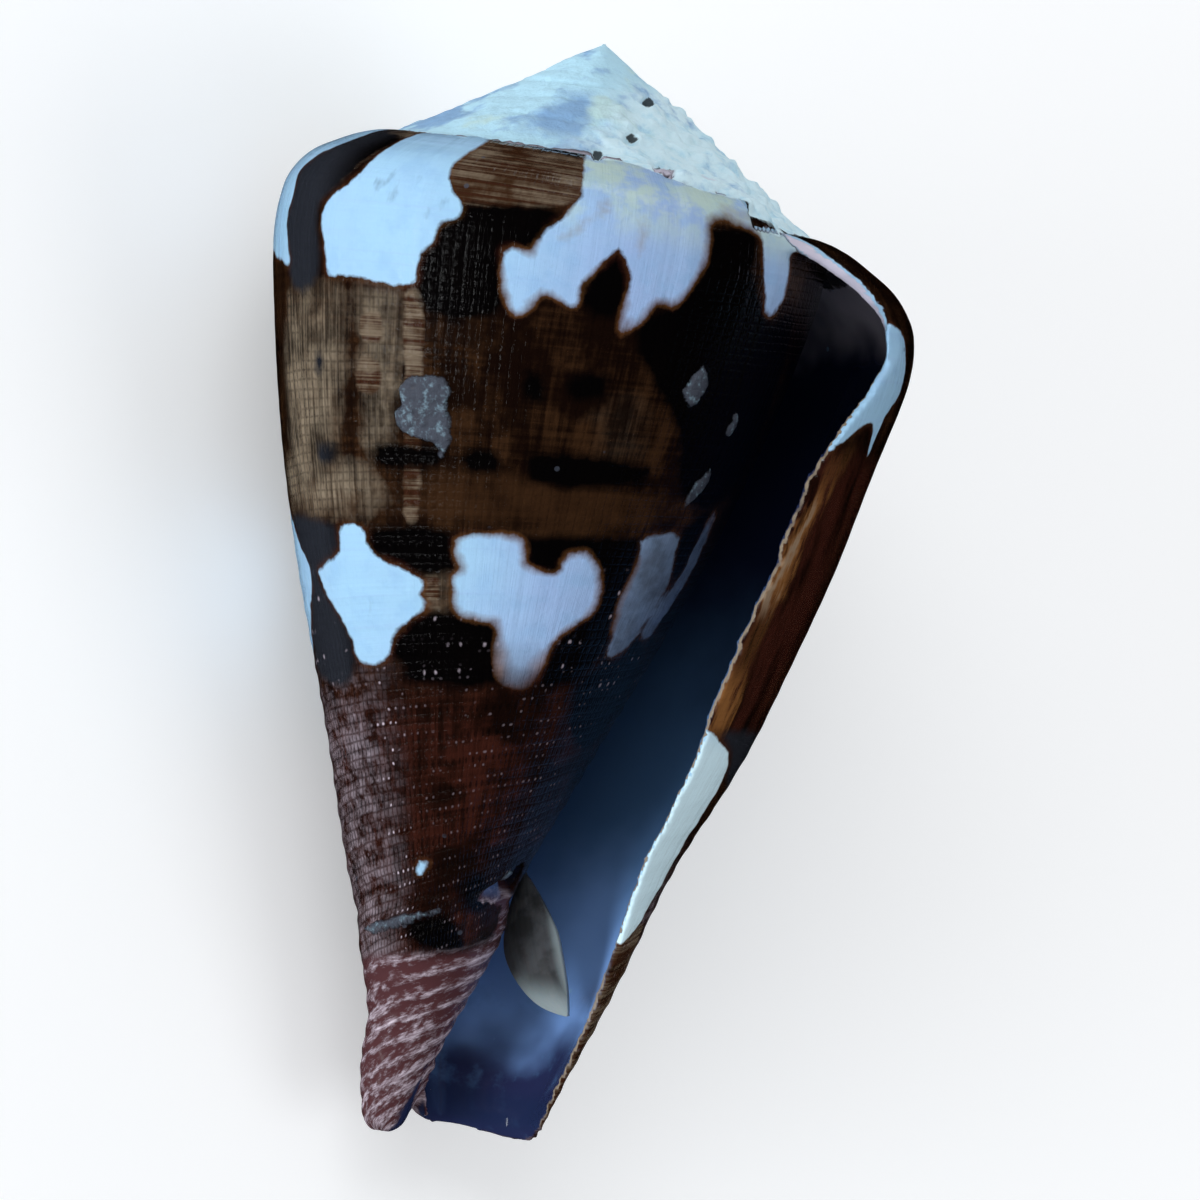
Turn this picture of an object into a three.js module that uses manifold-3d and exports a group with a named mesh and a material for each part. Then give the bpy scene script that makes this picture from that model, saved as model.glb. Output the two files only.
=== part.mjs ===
// A cone shell lying on its back with the mouth upward, and the small horny operculum in its mouth.
//
// The shell is modelled the way it grows. One outline, drawn in a half-plane through the shell's
// axis, turns about that axis and swells about the apex by the same factor in every turn. The last
// turn gives the outside, the same outline one turn earlier is the inner wall of the mouth, and
// the space between them is the hollow that winds inward from the mouth.
//
// Units are millimetres. In the shell's own frame the origin is the siphonal tip, +Z runs along the
// axis to the apex, +X is the side of the outer lip and -Y looks out of the mouth. Turns are
// counted back from the lip: 0 at the lip, -1 one whole turn earlier.
import * as THREE from "three";
import { mergeVertices } from "three/addons/utils/BufferGeometryUtils.js";
import Module from "manifold-3d";

const LENGTH = 55; // apex to siphonal tip
const EXPANSION = 1.38; // growth in one turn
const LIP_AZIMUTH = -38; // degrees from +X to the foremost point of the lip
const HOLLOW_TURNS = 1.45; // how far the hollow winds in before callus fills the older turns

const STEPS_PER_TURN = 60;
const HOLLOW_STEPS_PER_TURN = 40;

const WALL = 1.25; // wall thickness behind the lip
const LIP_WALL = 0.6; // wall thickness at the lip's edge
const LIP_TAPER_TURNS = 0.16; // the stretch behind the lip where the wall thickens
const MOUTH_CLEARANCE = 0.04; // keeps the hollow off the outer surface past the lip
const MOUTH_OVERRUN_TURNS = 0.03; // how far the hollow runs out past the lip

// Points (depth below the apex, radius) of the growing outline at full size.
const SUTURE = [7.8, 12.0];
const OUTLINE = [
  [7.7, 12.3], [8.0, 13.6], [8.75, 15.1], [9.65, 16.5], [10.95, 17.5], [12.4, 17.9],
  [14.6, 17.95], [18.5, 17.3], [24.7, 16.0], [30.1, 14.5], [35.6, 12.75], [41.0, 10.7],
  [46.6, 8.45], [52.1, 6.2], [57.0, 4.15], [63.5, 1.75],
];
const OUTLINE_ROWS = 20;
const SPIRE_ROWS = 5;
const SPIRE_TILT = { slope: 0.035, from: 36, to: 48 }; // the top leans to the left between these heights

// Points (turns, height) of the wall's lower edge: level round the back, then climbing to the columella.
const RIM_TOP = 14.6; // where the edge meets the columella, one turn behind the lip
const RIM = [
  [0.1, 0.35], [0, 0.4], [-0.25, 0.75], [-0.48, 1.2],
  [-0.6, 4.2], [-0.75, 9.0], [-0.88, 12.4], [-1.0, RIM_TOP],
];
const OPEN_BELOW = -1.5; // the hollow reaches past the rim where the siphon comes out
const OPEN_TURNS = 0.4; // how far round the back the siphonal canal is open below
const OPEN_FADE_TURNS = 0.14; // the stretch where the open canal closes
const FLOOR = 1.1; // thickness under the hollow where it is closed below
const AXIS_GAP = 0.06; // the hollow's sections stop this far from the axis
const ROOF_EXTRA = 0.2; // the shoulder is this much thicker than the wall
const CREST_DROP = 0.8; // share of the wall by which the hollow follows the outline lower down
const THINNEST_HOLLOW = 0.15;
const COLUMELLA_FADE = [60, 63.5]; // depths over which the inner wall narrows to the axis
const HOLLOW_ROWS = 11;

// How far the lip's edge stands back from its foremost point: (height, degrees).
const LIP_RETREAT = [
  [0, 24], [0.8, 21], [2.3, 19], [4.3, 15.4], [8.6, 11], [12, 8.9], [15.4, 5.7], [18.6, 5.6], [21.5, 4.3],
  [25.4, 1.1], [31, 0.4], [37.4, 6.2], [40.75, 16.8], [43.2, 17.7], [44.9, 11.4], [46.4, 7],
];
const RETREAT_TURNS = 0.3; // the stretch behind the lip that follows its edge
const RETREAT_FULL = 0.8; // share of the mouth's width beyond which the wall follows fully

// Swelling of the left side above the fasciole: its height and width, its place and spread in turns.
const SWELL = { by: 0.85, height: 11.5, spread: 7, turn: -0.6, turns: 0.2 };

// The twisted lower end of the columella: (height, centre's x, radius).
const PILLAR = [
  [0, -2.5, 0.55], [0.25, -2.5, 0.95], [1, -2.48, 1.2], [3.1, -2.34, 1.7], [5.8, -1.93, 2.2],
  [8.2, -1.8, 3.0], [10.3, -1.72, 3.6], [11.8, -1.6, 3.7], [13.5, -1.5, 2.9], [16, -0.9, 1.6],
];
const PILLAR_SIDES = 24;
const CANAL_BORE = { radius: 0.7, top: 4.6, sides: 12 }; // clears the last sliver along the axis

// The operculum: its leaf-shaped outline as (distance along the leaf, height), and where it stands.
const OPERCULUM = [
  [0.1, 13.3], [1.5, 12.1], [3.0, 9.8], [3.55, 7.9], [3.35, 6.8], [2.3, 7.6], [1.0, 8.45], [0, 9.6],
];
const OPERCULUM_THICKNESS = 0.4;
const OPERCULUM_AT = [2.35, 1.3]; // x and y of the edge by the columella
const OPERCULUM_TURN = -36; // degrees about the axis, from +X

// How the shell lies: turned about its own axis, then tipped over until its back is on the ground.
const ROLL = -29; // degrees
const TIP = -77.1; // degrees
const WORN_FLAT = 0.3; // depth worn off the back where it touches the ground

const radians = THREE.MathUtils.degToRad;
const lerp = THREE.MathUtils.lerp;

// A smooth curve through points, as a function of their first number.
function through(points) {
  const ordered = points[0][0] < points.at(-1)[0] ? points : [...points].reverse();
  const slopes = ordered.map((p, i) => {
    const before = ordered[Math.max(i - 1, 0)];
    const after = ordered[Math.min(i + 1, ordered.length - 1)];
    return (after[1] - before[1]) / (after[0] - before[0]);
  });
  return (x) => {
    const last = ordered.length - 2;
    const found = ordered.findIndex((p, i) => i > 0 && x <= p[0]) - 1;
    const i = found < 0 ? (x <= ordered[0][0] ? 0 : last) : found;
    const [x0, y0] = ordered[i];
    const [x1, y1] = ordered[i + 1];
    const h = x1 - x0;
    const u = THREE.MathUtils.clamp((x - x0) / h, 0, 1);
    return (
      y0 * (1 + 2 * u) * (1 - u) ** 2 + slopes[i] * h * u * (1 - u) ** 2 +
      y1 * u * u * (3 - 2 * u) + slopes[i + 1] * h * u * u * (u - 1)
    );
  };
}

const outlineRadius = through(OUTLINE);
const rimHeight = through(RIM);
const lipRetreat = through(LIP_RETREAT);

const scaleAt = (turn) => EXPANSION ** turn;
const azimuthAt = (turn) => radians(LIP_AZIMUTH - 360 * turn);

// Radius of the outer surface grown at a turn, at a height.
function surfaceRadius(turn, height) {
  const s = scaleAt(turn);
  const around = Math.exp(-(((turn - SWELL.turn) / SWELL.turns) ** 2));
  const along = Math.exp(-(((height - SWELL.height) / SWELL.spread) ** 2));
  return outlineRadius((LENGTH - height) / s) * s + SWELL.by * around * along;
}

function place(turn, radius, height) {
  const a = azimuthAt(turn);
  const x = radius * Math.cos(a);
  const tilt = SPIRE_TILT.slope * x * THREE.MathUtils.smoothstep(height, SPIRE_TILT.from, SPIRE_TILT.to);
  return new THREE.Vector3(x, radius * Math.sin(a), height - tilt);
}

// The outside's outline at a turn, from the apex down to its lower edge, as [radius, height].
function outsideColumn(turn) {
  const s = scaleAt(turn);
  const column = [];
  for (let i = 1; i <= SPIRE_ROWS; i++)
    column.push([(SUTURE[1] * s * i) / SPIRE_ROWS, LENGTH - (SUTURE[0] * s * i) / SPIRE_ROWS]);
  const top = LENGTH - OUTLINE[0][0] * s;
  const bottom = rimHeight(turn);
  for (let i = 0; i <= OUTLINE_ROWS; i++) {
    const share = i / OUTLINE_ROWS;
    const height = lerp(top, bottom, share ** 1.25);
    column.push([surfaceRadius(turn, height), height]);
  }
  return column;
}

// A geometry from points and triangles.
function geometryOf(points, triangles) {
  const geometry = new THREE.BufferGeometry().setFromPoints(points);
  geometry.setIndex(triangles);
  return geometry;
}

// The whole outside as a solid, filled to the axis, with a flat step at the lip.
function outsideSolid() {
  const points = [new THREE.Vector3(0, 0, LENGTH)];
  const triangles = [];
  const columns = [];
  for (let j = 0; j <= STEPS_PER_TURN; j++) {
    const turn = -j / STEPS_PER_TURN;
    const rows = [...outsideColumn(turn), [0, rimHeight(turn)]];
    columns.push(rows.map(([r, h]) => points.push(place(turn, r, h)) - 1));
  }
  for (let j = 0; j < STEPS_PER_TURN; j++) {
    const [a, b] = [columns[j], columns[j + 1]];
    triangles.push(0, a[0], b[0]);
    for (let i = 0; i < a.length - 1; i++)
      triangles.push(a[i], a[i + 1], b[i + 1], a[i], b[i + 1], b[i]);
  }
  // The step at the lip, between the outline there and the same outline one turn earlier.
  const [first, last] = [columns[0], columns[STEPS_PER_TURN]];
  const foot = first.length - 2;
  triangles.push(0, last[0], first[0]);
  for (let i = 0; i < foot; i++)
    triangles.push(first[i], last[i + 1], first[i + 1], first[i], last[i], last[i + 1]);
  for (let j = 0; j < STEPS_PER_TURN; j++)
    triangles.push(first[foot], columns[j + 1].at(-1), columns[j].at(-1));
  triangles.push(first[foot], last[foot], last.at(-1));
  return geometryOf(points, triangles);
}

// Wall thickness at a turn: thin at the lip's edge, and thinner again in the older, smaller turns.
function wallThickness(turn) {
  const grown = THREE.MathUtils.smoothstep(-turn, 0, LIP_TAPER_TURNS);
  return lerp(LIP_WALL, WALL, grown) * Math.min(1, scaleAt(turn) * 1.15);
}

// Height of the hollow's floor at a turn: open below near the mouth, closed further round.
function hollowFloor(turn) {
  const olderRise = turn < -1 ? RIM_TOP * (1 - scaleAt(turn + 1)) : 0;
  const closed = rimHeight(Math.max(turn, -1)) + FLOOR + olderRise;
  const closing = THREE.MathUtils.smoothstep(-turn, OPEN_TURNS, OPEN_TURNS + OPEN_FADE_TURNS);
  return lerp(OPEN_BELOW, closed, closing);
}

// The hollow's section at a turn, a closed ring of [radius, height]: from the roof down the outer
// wall and up the inner one.
function hollowSection(turn) {
  const wall = wallThickness(turn);
  const roof = LENGTH - OUTLINE[0][0] * scaleAt(turn) - wall - ROOF_EXTRA;
  const floor = hollowFloor(turn);
  const past = turn > 0 ? MOUTH_CLEARANCE : 0;
  const inner = (height) => {
    const depth = (LENGTH - height) / scaleAt(turn - 1);
    const fade = THREE.MathUtils.smoothstep(depth, ...COLUMELLA_FADE);
    return Math.max(AXIS_GAP, surfaceRadius(turn - 1, height) * (1 - fade) + past);
  };
  const outer = (height) => {
    const wide = surfaceRadius(turn, height + wall * CREST_DROP) - wall;
    return Math.max(wide, inner(height) + THINNEST_HOLLOW);
  };
  const ring = [];
  for (let i = 0; i <= HOLLOW_ROWS; i++) {
    const height = lerp(roof, floor, (i / HOLLOW_ROWS) ** 1.4);
    ring.push([outer(height), height]);
  }
  for (let i = HOLLOW_ROWS; i >= 0; i--) {
    const height = lerp(roof, floor, (i / HOLLOW_ROWS) ** 1.4);
    ring.push([inner(height), height]);
  }
  return ring;
}

function hollowSolid() {
  const points = [];
  const triangles = [];
  const steps = Math.round((HOLLOW_TURNS + MOUTH_OVERRUN_TURNS) * HOLLOW_STEPS_PER_TURN);
  const rings = [];
  for (let j = 0; j <= steps; j++) {
    const turn = MOUTH_OVERRUN_TURNS - (j * (HOLLOW_TURNS + MOUTH_OVERRUN_TURNS)) / steps;
    rings.push(hollowSection(turn).map(([r, h]) => points.push(place(turn, r, h)) - 1));
  }
  const n = rings[0].length;
  for (let j = 0; j < steps; j++)
    for (let i = 0; i < n; i++) {
      const k = (i + 1) % n;
      const [a, b, c, d] = [rings[j][i], rings[j][k], rings[j + 1][k], rings[j + 1][i]];
      triangles.push(a, b, c, a, c, d);
    }
  for (const [ring, flip] of [[rings[0], false], [rings.at(-1), true]])
    for (let i = 0; i < HOLLOW_ROWS; i++) {
      const [a, b, c, d] = [ring[i], ring[i + 1], ring[n - 2 - i], ring[n - 1 - i]];
      triangles.push(...(flip ? [a, b, c, a, c, d] : [a, c, b, a, d, c]));
    }
  return geometryOf(points, triangles);
}

// A lathe-like solid whose rings move sideways: [height, centre's x, radius] from the bottom up.
function pillarGeometry() {
  const points = [];
  const triangles = [];
  const rings = PILLAR.map(([height, x, radius]) =>
    Array.from({ length: PILLAR_SIDES }, (_, i) => {
      const a = (i / PILLAR_SIDES) * Math.PI * 2;
      return points.push(new THREE.Vector3(x + radius * Math.cos(a), radius * Math.sin(a), height)) - 1;
    }),
  );
  rings.slice(0, -1).forEach((ring, j) => {
    ring.forEach((a, i) => {
      const k = (i + 1) % PILLAR_SIDES;
      triangles.push(a, ring[k], rings[j + 1][k], a, rings[j + 1][k], rings[j + 1][i]);
    });
  });
  for (let i = 1; i < PILLAR_SIDES - 1; i++) {
    triangles.push(rings[0][0], rings[0][i + 1], rings[0][i]);
    const top = rings.at(-1);
    triangles.push(top[0], top[i], top[i + 1]);
  }
  return geometryOf(points, triangles);
}

const lying = new THREE.Quaternion().setFromEuler(new THREE.Euler(radians(TIP), 0, radians(ROLL)));

const wasm = await Module();
wasm.setup();

function toManifold(geometry) {
  const bare = geometry.clone();
  bare.deleteAttribute("normal");
  bare.deleteAttribute("uv");
  const merged = mergeVertices(bare, 1e-4);
  return new wasm.Manifold(
    new wasm.Mesh({
      numProp: 3,
      vertProperties: new Float32Array(merged.attributes.position.array),
      triVerts: new Uint32Array(merged.index.array),
    }),
  );
}

function toGeometry(manifold) {
  const mesh = manifold.getMesh();
  const geometry = new THREE.BufferGeometry();
  geometry.setAttribute("position", new THREE.BufferAttribute(new Float32Array(mesh.vertProperties), 3));
  geometry.setIndex(new THREE.BufferAttribute(new Uint32Array(mesh.triVerts), 1));
  return geometry;
}

// Turns the outer wall back so that its edge follows the lip.
function followLip(geometry) {
  const position = geometry.getAttribute("position");
  for (let i = 0; i < position.count; i++) {
    const [x, y, z] = [position.getX(i), position.getY(i), position.getZ(i)];
    const radius = Math.hypot(x, y);
    const azimuth = THREE.MathUtils.radToDeg(Math.atan2(y, x));
    const behind = THREE.MathUtils.euclideanModulo(azimuth - LIP_AZIMUTH + 1, 360) - 1;
    const turn = -behind / 360;
    if (turn < -RETREAT_TURNS)
      continue;
    const inner = surfaceRadius(turn - 1, z);
    const full = lerp(inner, surfaceRadius(turn, z) - LIP_WALL, RETREAT_FULL);
    const outward = THREE.MathUtils.smoothstep(radius, inner + 0.1, full);
    const along = 1 - THREE.MathUtils.smoothstep(-turn, 0, RETREAT_TURNS);
    const a = radians(lipRetreat(z) * along * outward);
    position.setXY(i, x * Math.cos(a) - y * Math.sin(a), x * Math.sin(a) + y * Math.cos(a));
  }
  return geometry;
}

// Wears a flat on the back, where the lying shell touches the ground.
function wornFlat(solid) {
  const up = new THREE.Vector3(0, 0, 1).applyQuaternion(lying.clone().invert());
  const positions = toGeometry(solid).getAttribute("position");
  let lowest = Infinity;
  for (let i = 0; i < positions.count; i++)
    lowest = Math.min(lowest, new THREE.Vector3().fromBufferAttribute(positions, i).dot(up));
  return solid.trimByPlane(up.toArray(), lowest + WORN_FLAT);
}

function shellGeometry() {
  const { radius, top, sides } = CANAL_BORE;
  const bore = new THREE.CylinderGeometry(radius, radius, top - OPEN_BELOW, sides);
  bore.rotateX(Math.PI / 2).translate(0, 0, (top + OPEN_BELOW) / 2);
  const hollowed = toManifold(outsideSolid()).subtract(toManifold(hollowSolid())).subtract(toManifold(bore));
  const lipped = toManifold(followLip(toGeometry(hollowed)));
  return toGeometry(wornFlat(lipped.add(toManifold(pillarGeometry()))));
}

function operculumGeometry() {
  const corners = [...OPERCULUM, OPERCULUM[0]].map(([along, height]) => new THREE.Vector2(along, height));
  const outline = new THREE.SplineCurve(corners);
  const leaf = new THREE.Shape(outline.getPoints(32).slice(0, -1));
  const geometry = new THREE.ExtrudeGeometry(leaf, { depth: OPERCULUM_THICKNESS, bevelEnabled: false });
  return geometry.rotateX(Math.PI / 2);
}

const glaze = new THREE.MeshStandardMaterial({ color: 0x2a1a12, roughness: 0.35, metalness: 0 });
const horn = new THREE.MeshStandardMaterial({ color: 0x6e6c55, roughness: 0.45, metalness: 0 });

const shell = new THREE.Mesh(shellGeometry(), glaze);
shell.name = "shell";
const operculum = new THREE.Mesh(operculumGeometry(), horn);
operculum.name = "operculum";
operculum.position.set(OPERCULUM_AT[0], OPERCULUM_AT[1], 0);
operculum.rotation.z = radians(OPERCULUM_TURN);

const group = new THREE.Group();
group.add(shell, operculum);
group.quaternion.copy(lying);

// On the ground, centred over the origin.
const box = new THREE.Box3().setFromObject(group, true);
group.position.set(-(box.min.x + box.max.x) / 2, -(box.min.y + box.max.y) / 2, -box.min.z);
export default group;
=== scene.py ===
"""A cone shell on its back, grown as a mollusc grows it, with the operculum in its mouth."""
import math

import bpy
import numpy as np
from mathutils import Matrix, Vector


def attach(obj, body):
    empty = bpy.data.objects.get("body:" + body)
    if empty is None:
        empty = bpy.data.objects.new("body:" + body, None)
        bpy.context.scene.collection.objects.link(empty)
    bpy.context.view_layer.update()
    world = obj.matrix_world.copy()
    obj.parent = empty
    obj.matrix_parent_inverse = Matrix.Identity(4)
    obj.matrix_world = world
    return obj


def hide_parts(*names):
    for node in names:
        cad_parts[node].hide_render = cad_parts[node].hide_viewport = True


bl_info = {
    "name": "Cone Shell",
    "version": (1, 0, 0),
    "blender": (4, 5, 0),
    "location": "3D View > Sidebar > Cone Shell",
    "description": "Grows a cone shell, its operculum and a plain stage round the packed frame",
    "category": "Mesh",
}

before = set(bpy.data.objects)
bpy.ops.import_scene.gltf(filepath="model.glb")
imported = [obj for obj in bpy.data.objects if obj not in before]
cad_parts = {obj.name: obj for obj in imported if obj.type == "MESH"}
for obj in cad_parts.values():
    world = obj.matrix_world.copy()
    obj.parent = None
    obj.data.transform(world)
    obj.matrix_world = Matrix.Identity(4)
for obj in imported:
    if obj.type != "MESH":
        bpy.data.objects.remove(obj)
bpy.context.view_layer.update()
BODY = "root"
MM = 0.001

# The shell's own frame, in millimetres: the origin is the siphonal tip, +Z runs up the axis to the
# apex, +X is the side of the outer lip and -Y looks out of the mouth. A turn is counted back from
# the lip, so the lip is turn 0 and one whole turn earlier is -1. "Behind" is the same in degrees:
# 0 at the lip, 308 in front, and 360 and more on the older whorl that shows inside the mouth.
# Depth is measured down from the apex and scaled to the lip's size, so it is the same all round.
LIP_AZIMUTH = -38.0
# The suture and the edge of the worn spire, as (depth, radius).
SUTURE = (7.8, 12.0)
SPIRE_EDGE = (7.9, 12.1)
# Radius of the seam next to the suture, and how much longer the spire's slope is than its radius.
NEXT_SEAM = 12.05
CONE_SLANT = 1.19
# Depth at which the older whorl narrows to nothing.
OLDER_END = 63.2
# The outline as (depth, radius), the wall's lower rim as (turn, height), the lip as (height, degrees
# back from a straight lip) and the columella's lower end as (height, its middle's x, radius).
OUTLINE = (
    (7.7, 12.3), (8.0, 13.6), (8.75, 15.1), (9.65, 16.5), (10.95, 17.5), (12.4, 17.9), (14.6, 17.95),
    (18.5, 17.3), (24.7, 16.0), (30.1, 14.5), (35.6, 12.75), (41.0, 10.7), (46.6, 8.45), (52.1, 6.2),
    (57.0, 4.15), (63.5, 1.75),
)
RIM = (
    (0.1, 0.35), (0.0, 0.4), (-0.25, 0.75), (-0.48, 1.2), (-0.6, 4.2), (-0.75, 9.0), (-0.88, 12.4),
    (-1.0, 14.6),
)
LIP_RETREAT = (
    (0, 62), (0.5, 45), (0.9, 35), (1.5, 26.5), (2.4, 19.5), (4.3, 14.5), (8.6, 8), (12, 3), (15.4, -1),
    (18.6, -1), (21.5, -2.4), (25.4, -3.6), (31, -2), (34, -1.6), (37.4, 3.2), (40.75, 12), (43.2, 16.5),
    (44.9, 11.4), (46.4, 7),
)
PILLAR = (
    (0, -2.5, 0.55), (0.25, -2.5, 0.95), (1, -2.48, 1.2), (3.1, -2.34, 1.7), (5.8, -1.93, 2.2),
    (8.2, -1.8, 3.0), (10.3, -1.72, 3.6), (11.8, -1.6, 3.7), (13.5, -1.5, 2.9), (16, -0.9, 1.6),
)
# Height of the top of the ridged foot, by degrees behind the lip.
FOOT_TOP = (
    (0, -3), (110, -2), (150, 3.2), (190, 7.0), (218, 8.2), (260, 8.9), (300, 9.4), (340, 10.2), (400, 11.8),
)

# The operculum's two edges as (distance along the leaf, height), both from its top to its tip.
LEAF_FREE_EDGE = ((0.2, 13.8), (1.35, 12.8), (2.8, 11.2), (3.3, 10.2), (3.95, 8.5), (4.25, 7.1))
LEAF_HELD_EDGE = ((0.2, 13.8), (-0.2, 12.2), (-0.35, 10.8), (-0.1, 9.5), (0.9, 8.3), (2.4, 7.4), (4.25, 7.1))
LEAF_AT = (2.35, 1.3)
LEAF_TURN = -36.0

# Markings, each a drawn outline of (degrees behind the lip, height).
WHITES = {
    "shoulder left": (
        (261, 49.2), (280, 49.0), (281, 48.1), (280, 47.0), (282, 46.0), (285, 45.3), (285, 44.8),
        (281, 44.3), (280, 43.4), (277, 42.7), (277, 41.5), (271, 41.1), (260, 41.3), (253, 41.2),
        (252, 42.3), (250, 43.6), (251, 44.6), (256, 45.5), (259, 46.4), (260, 47.5)),
    "shoulder far left": (
        (196, 46.2), (215, 49.4), (238, 49.8), (242, 47.7), (237, 46.7), (234, 45.9), (235, 44.8),
        (234, 43.6), (235, 42.5), (236, 41.4), (225, 41.9), (212, 42.4), (203, 43.2), (197, 44.4)),
    "shoulder right": (
        (309, 49.4), (325, 50.0), (338, 50.0), (356, 50.0), (366, 49.0), (363, 46.5), (363, 45.0),
        (362.5, 43.3), (358, 43.2), (354, 45.4), (352.5, 46.8), (344, 47.3), (338, 47.0), (337, 44.8),
        (335, 43.6), (332, 42.6), (328, 42.5), (325, 41.4), (322, 40.7), (322, 42.9), (320, 44.2),
        (318, 44.6), (315, 43.8), (312, 42.9), (311, 41.6), (308, 41.7), (304, 42.0), (300, 40.8),
        (298, 40.9), (296, 42.1), (295, 43.1), (296, 43.7), (301, 43.6), (302, 44.5), (306, 45.7),
        (309, 47.0)),
    "belt left": (
        (253, 29.2), (259, 29.5), (263, 29.4), (263, 28.6), (268, 28.0), (274, 27.8), (278, 27.5),
        (281, 27.2), (280, 26.6), (282, 26.1), (275, 25.2), (269, 24.3), (268, 23.7), (264, 23.1),
        (261, 22.9), (254, 23.0), (252, 23.9), (249, 24.9), (244, 25.7), (239, 26.8), (243, 27.2),
        (252, 28.1)),
    "belt middle": (
        (290, 29.2), (293, 29.8), (300, 30.0), (307, 29.9), (309, 28.9), (312, 28.6), (319, 28.7),
        (321, 29.4), (325, 29.8), (329, 29.4), (332, 28.4), (333, 27.4), (330, 26.7), (325, 26.0),
        (322, 24.9), (320, 23.7), (316, 23.0), (309, 23.0), (306, 23.8), (305, 25.2), (304, 26.0),
        (299, 26.0), (292, 26.1), (291, 26.7), (290, 27.7), (293, 28.2)),
    "belt right": (
        (343, 31.1), (356, 31.5), (357, 30.5), (360, 29.4), (360, 28.4), (358, 27.1), (354, 25.6),
        (347, 25.1), (345, 26.1), (343, 28.0), (344, 29.2), (343, 30.4)),
    "belt at the mouth": (
        (369, 32.8), (372, 31.4), (372, 29.4), (369, 27.9), (365, 26.3), (359, 26.4), (360, 27.6),
        (364, 28.9), (366, 30.0), (366, 31.4)),
    "belt far left": (
        (192, 28.8), (203, 30.0), (218, 29.6), (227, 28.1), (233, 27.2), (232, 26.0), (224, 24.5),
        (218, 23.2), (208, 22.4), (200, 24.0), (194, 26.4)),
    "lip upper": (
        (8, 42.9), (6, 41.6), (0, 39.4), (-7, 36.3), (-1, 36.0), (4, 37.0), (11, 38.4), (15, 38.0),
        (17.5, 36.6), (18, 38.8), (22, 40.2), (21, 41.9), (18.5, 43.2), (12.5, 43.9), (7, 45.6),
        (-1, 47.4), (-3, 44)),
    "lip lower": (
        (-7, 22.0), (3, 21.8), (13, 20.8), (16, 19.4), (16.5, 17.2), (17.5, 14.3), (8, 11.6), (-4, 11.6),
        (-7, 17)),
    "chip": ((276, 13.8), (280, 13.6), (277, 13.0), (273, 13.0)),
}
BLACKS = {
    "shoulder left": (
        (285, 45.4), (306, 46.0), (304, 45.0), (301, 43.7), (296, 43.7), (295, 43.1), (297, 41.2),
        (289, 40.0), (279, 40.2), (277, 41.5), (277, 42.7), (280, 43.4), (281, 44.3), (285, 44.8)),
    "shoulder far left": (
        (240, 48.6), (259, 48.2), (257, 46.6), (254, 45.4), (249, 44.6), (248, 43.6), (250, 42.3),
        (249, 41.0), (241, 40.2), (236, 41.3), (235, 42.5), (234, 43.6), (235, 44.8), (234, 45.9),
        (237, 46.7)),
    "shoulder notch": (
        (314, 43.6), (318, 44.3), (320, 43.9), (321, 42.9), (321, 41.5), (315, 41.2), (312, 41.8),
        (312, 42.8)),
    "right": (
        (325, 41.2), (332, 42.4), (338, 45.0), (346, 46.0), (358, 43.0), (362, 42.6), (372, 43),
        (378, 36), (366, 33.0), (350, 33.5), (342, 36.5), (330, 39.0)),
    "belt far left": (
        (224, 29.5), (247, 29.4), (253, 28.9), (252, 28.1), (243, 27.2), (239, 26.7), (243, 25.8),
        (248, 25.1), (252, 24.2), (253, 23.1), (245, 21.6), (228, 21.8), (220, 22.4), (226, 24.4),
        (232, 26.0), (233, 27.2), (227, 28.1)),
    "belt left": (
        (264, 29.1), (269, 29.6), (278, 29.9), (290, 29.8), (289, 28.7), (292, 28.1), (283, 27.6),
        (278, 27.6), (272, 28.0), (265, 28.3)),
    "belt left, below": (
        (275, 25.2), (282, 25.9), (291, 26.0), (301, 26.0), (306, 24.9), (307, 22.9), (274, 22.3),
        (273, 23.0), (268, 23.6), (269, 24.3)),
    "belt right": (
        (308, 30.1), (329, 30.8), (344, 31.0), (343, 30.4), (344, 29.2), (343, 28.0), (345, 25.9),
        (337, 23.7), (323, 23.2), (325, 26.0), (330, 26.7), (333, 27.4), (332, 28.4), (329, 29.4),
        (325, 29.8), (321, 29.4), (319, 28.7), (312, 28.6), (309, 28.9)),
    "belt at the mouth": (
        (356, 31.8), (368, 33.0), (366, 30.0), (360, 26.5), (372, 24), (366, 20.5), (344, 21.0),
        (338, 23.4), (347, 25.0), (354, 25.5), (359, 27.1), (361, 28.6), (358, 30.5)),
    "notch": ((336, 46.9), (341, 46.7), (351, 47.1), (352, 46.2), (350, 44.6), (339, 44.7)),
    "dash 1": ((267, 33.5), (285, 33.9), (285, 32.8), (267, 32.3)),
    "dash 2": ((290, 33.9), (299, 34.1), (300, 33.0), (291, 32.8)),
    "dash 3": ((305, 34.3), (323, 34.6), (338, 34.5), (337, 33.5), (315, 32.8), (307, 33.0)),
    "dash 4": ((247, 33.2), (255, 33.4), (254, 32.4), (247, 32.3)),
    "dash 5": ((302, 38.0), (306, 38.1), (308, 36.8), (303, 36.6)),
    "dash 6": ((248, 37.5), (251, 37.6), (251, 36.5), (248, 36.5)),
    "dash 7": ((312, 38.2), (321, 38.6), (322, 37.4), (313, 37.0)),
    "lip": ((5, 22.4), (38, 22.2), (42, 20), (38, 19.2), (19, 20.0), (12, 21.2), (6, 21.6)),
    "low spot": ((304, 13.0), (311, 13.5), (320, 13.3), (328, 12.4), (323, 11.5), (310, 11.6), (303, 12.3)),
    "low band": ((266, 10.4), (276, 10.9), (296, 11.1), (306, 10.5), (311, 9.7), (292, 9.3), (275, 9.6)),
}
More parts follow.
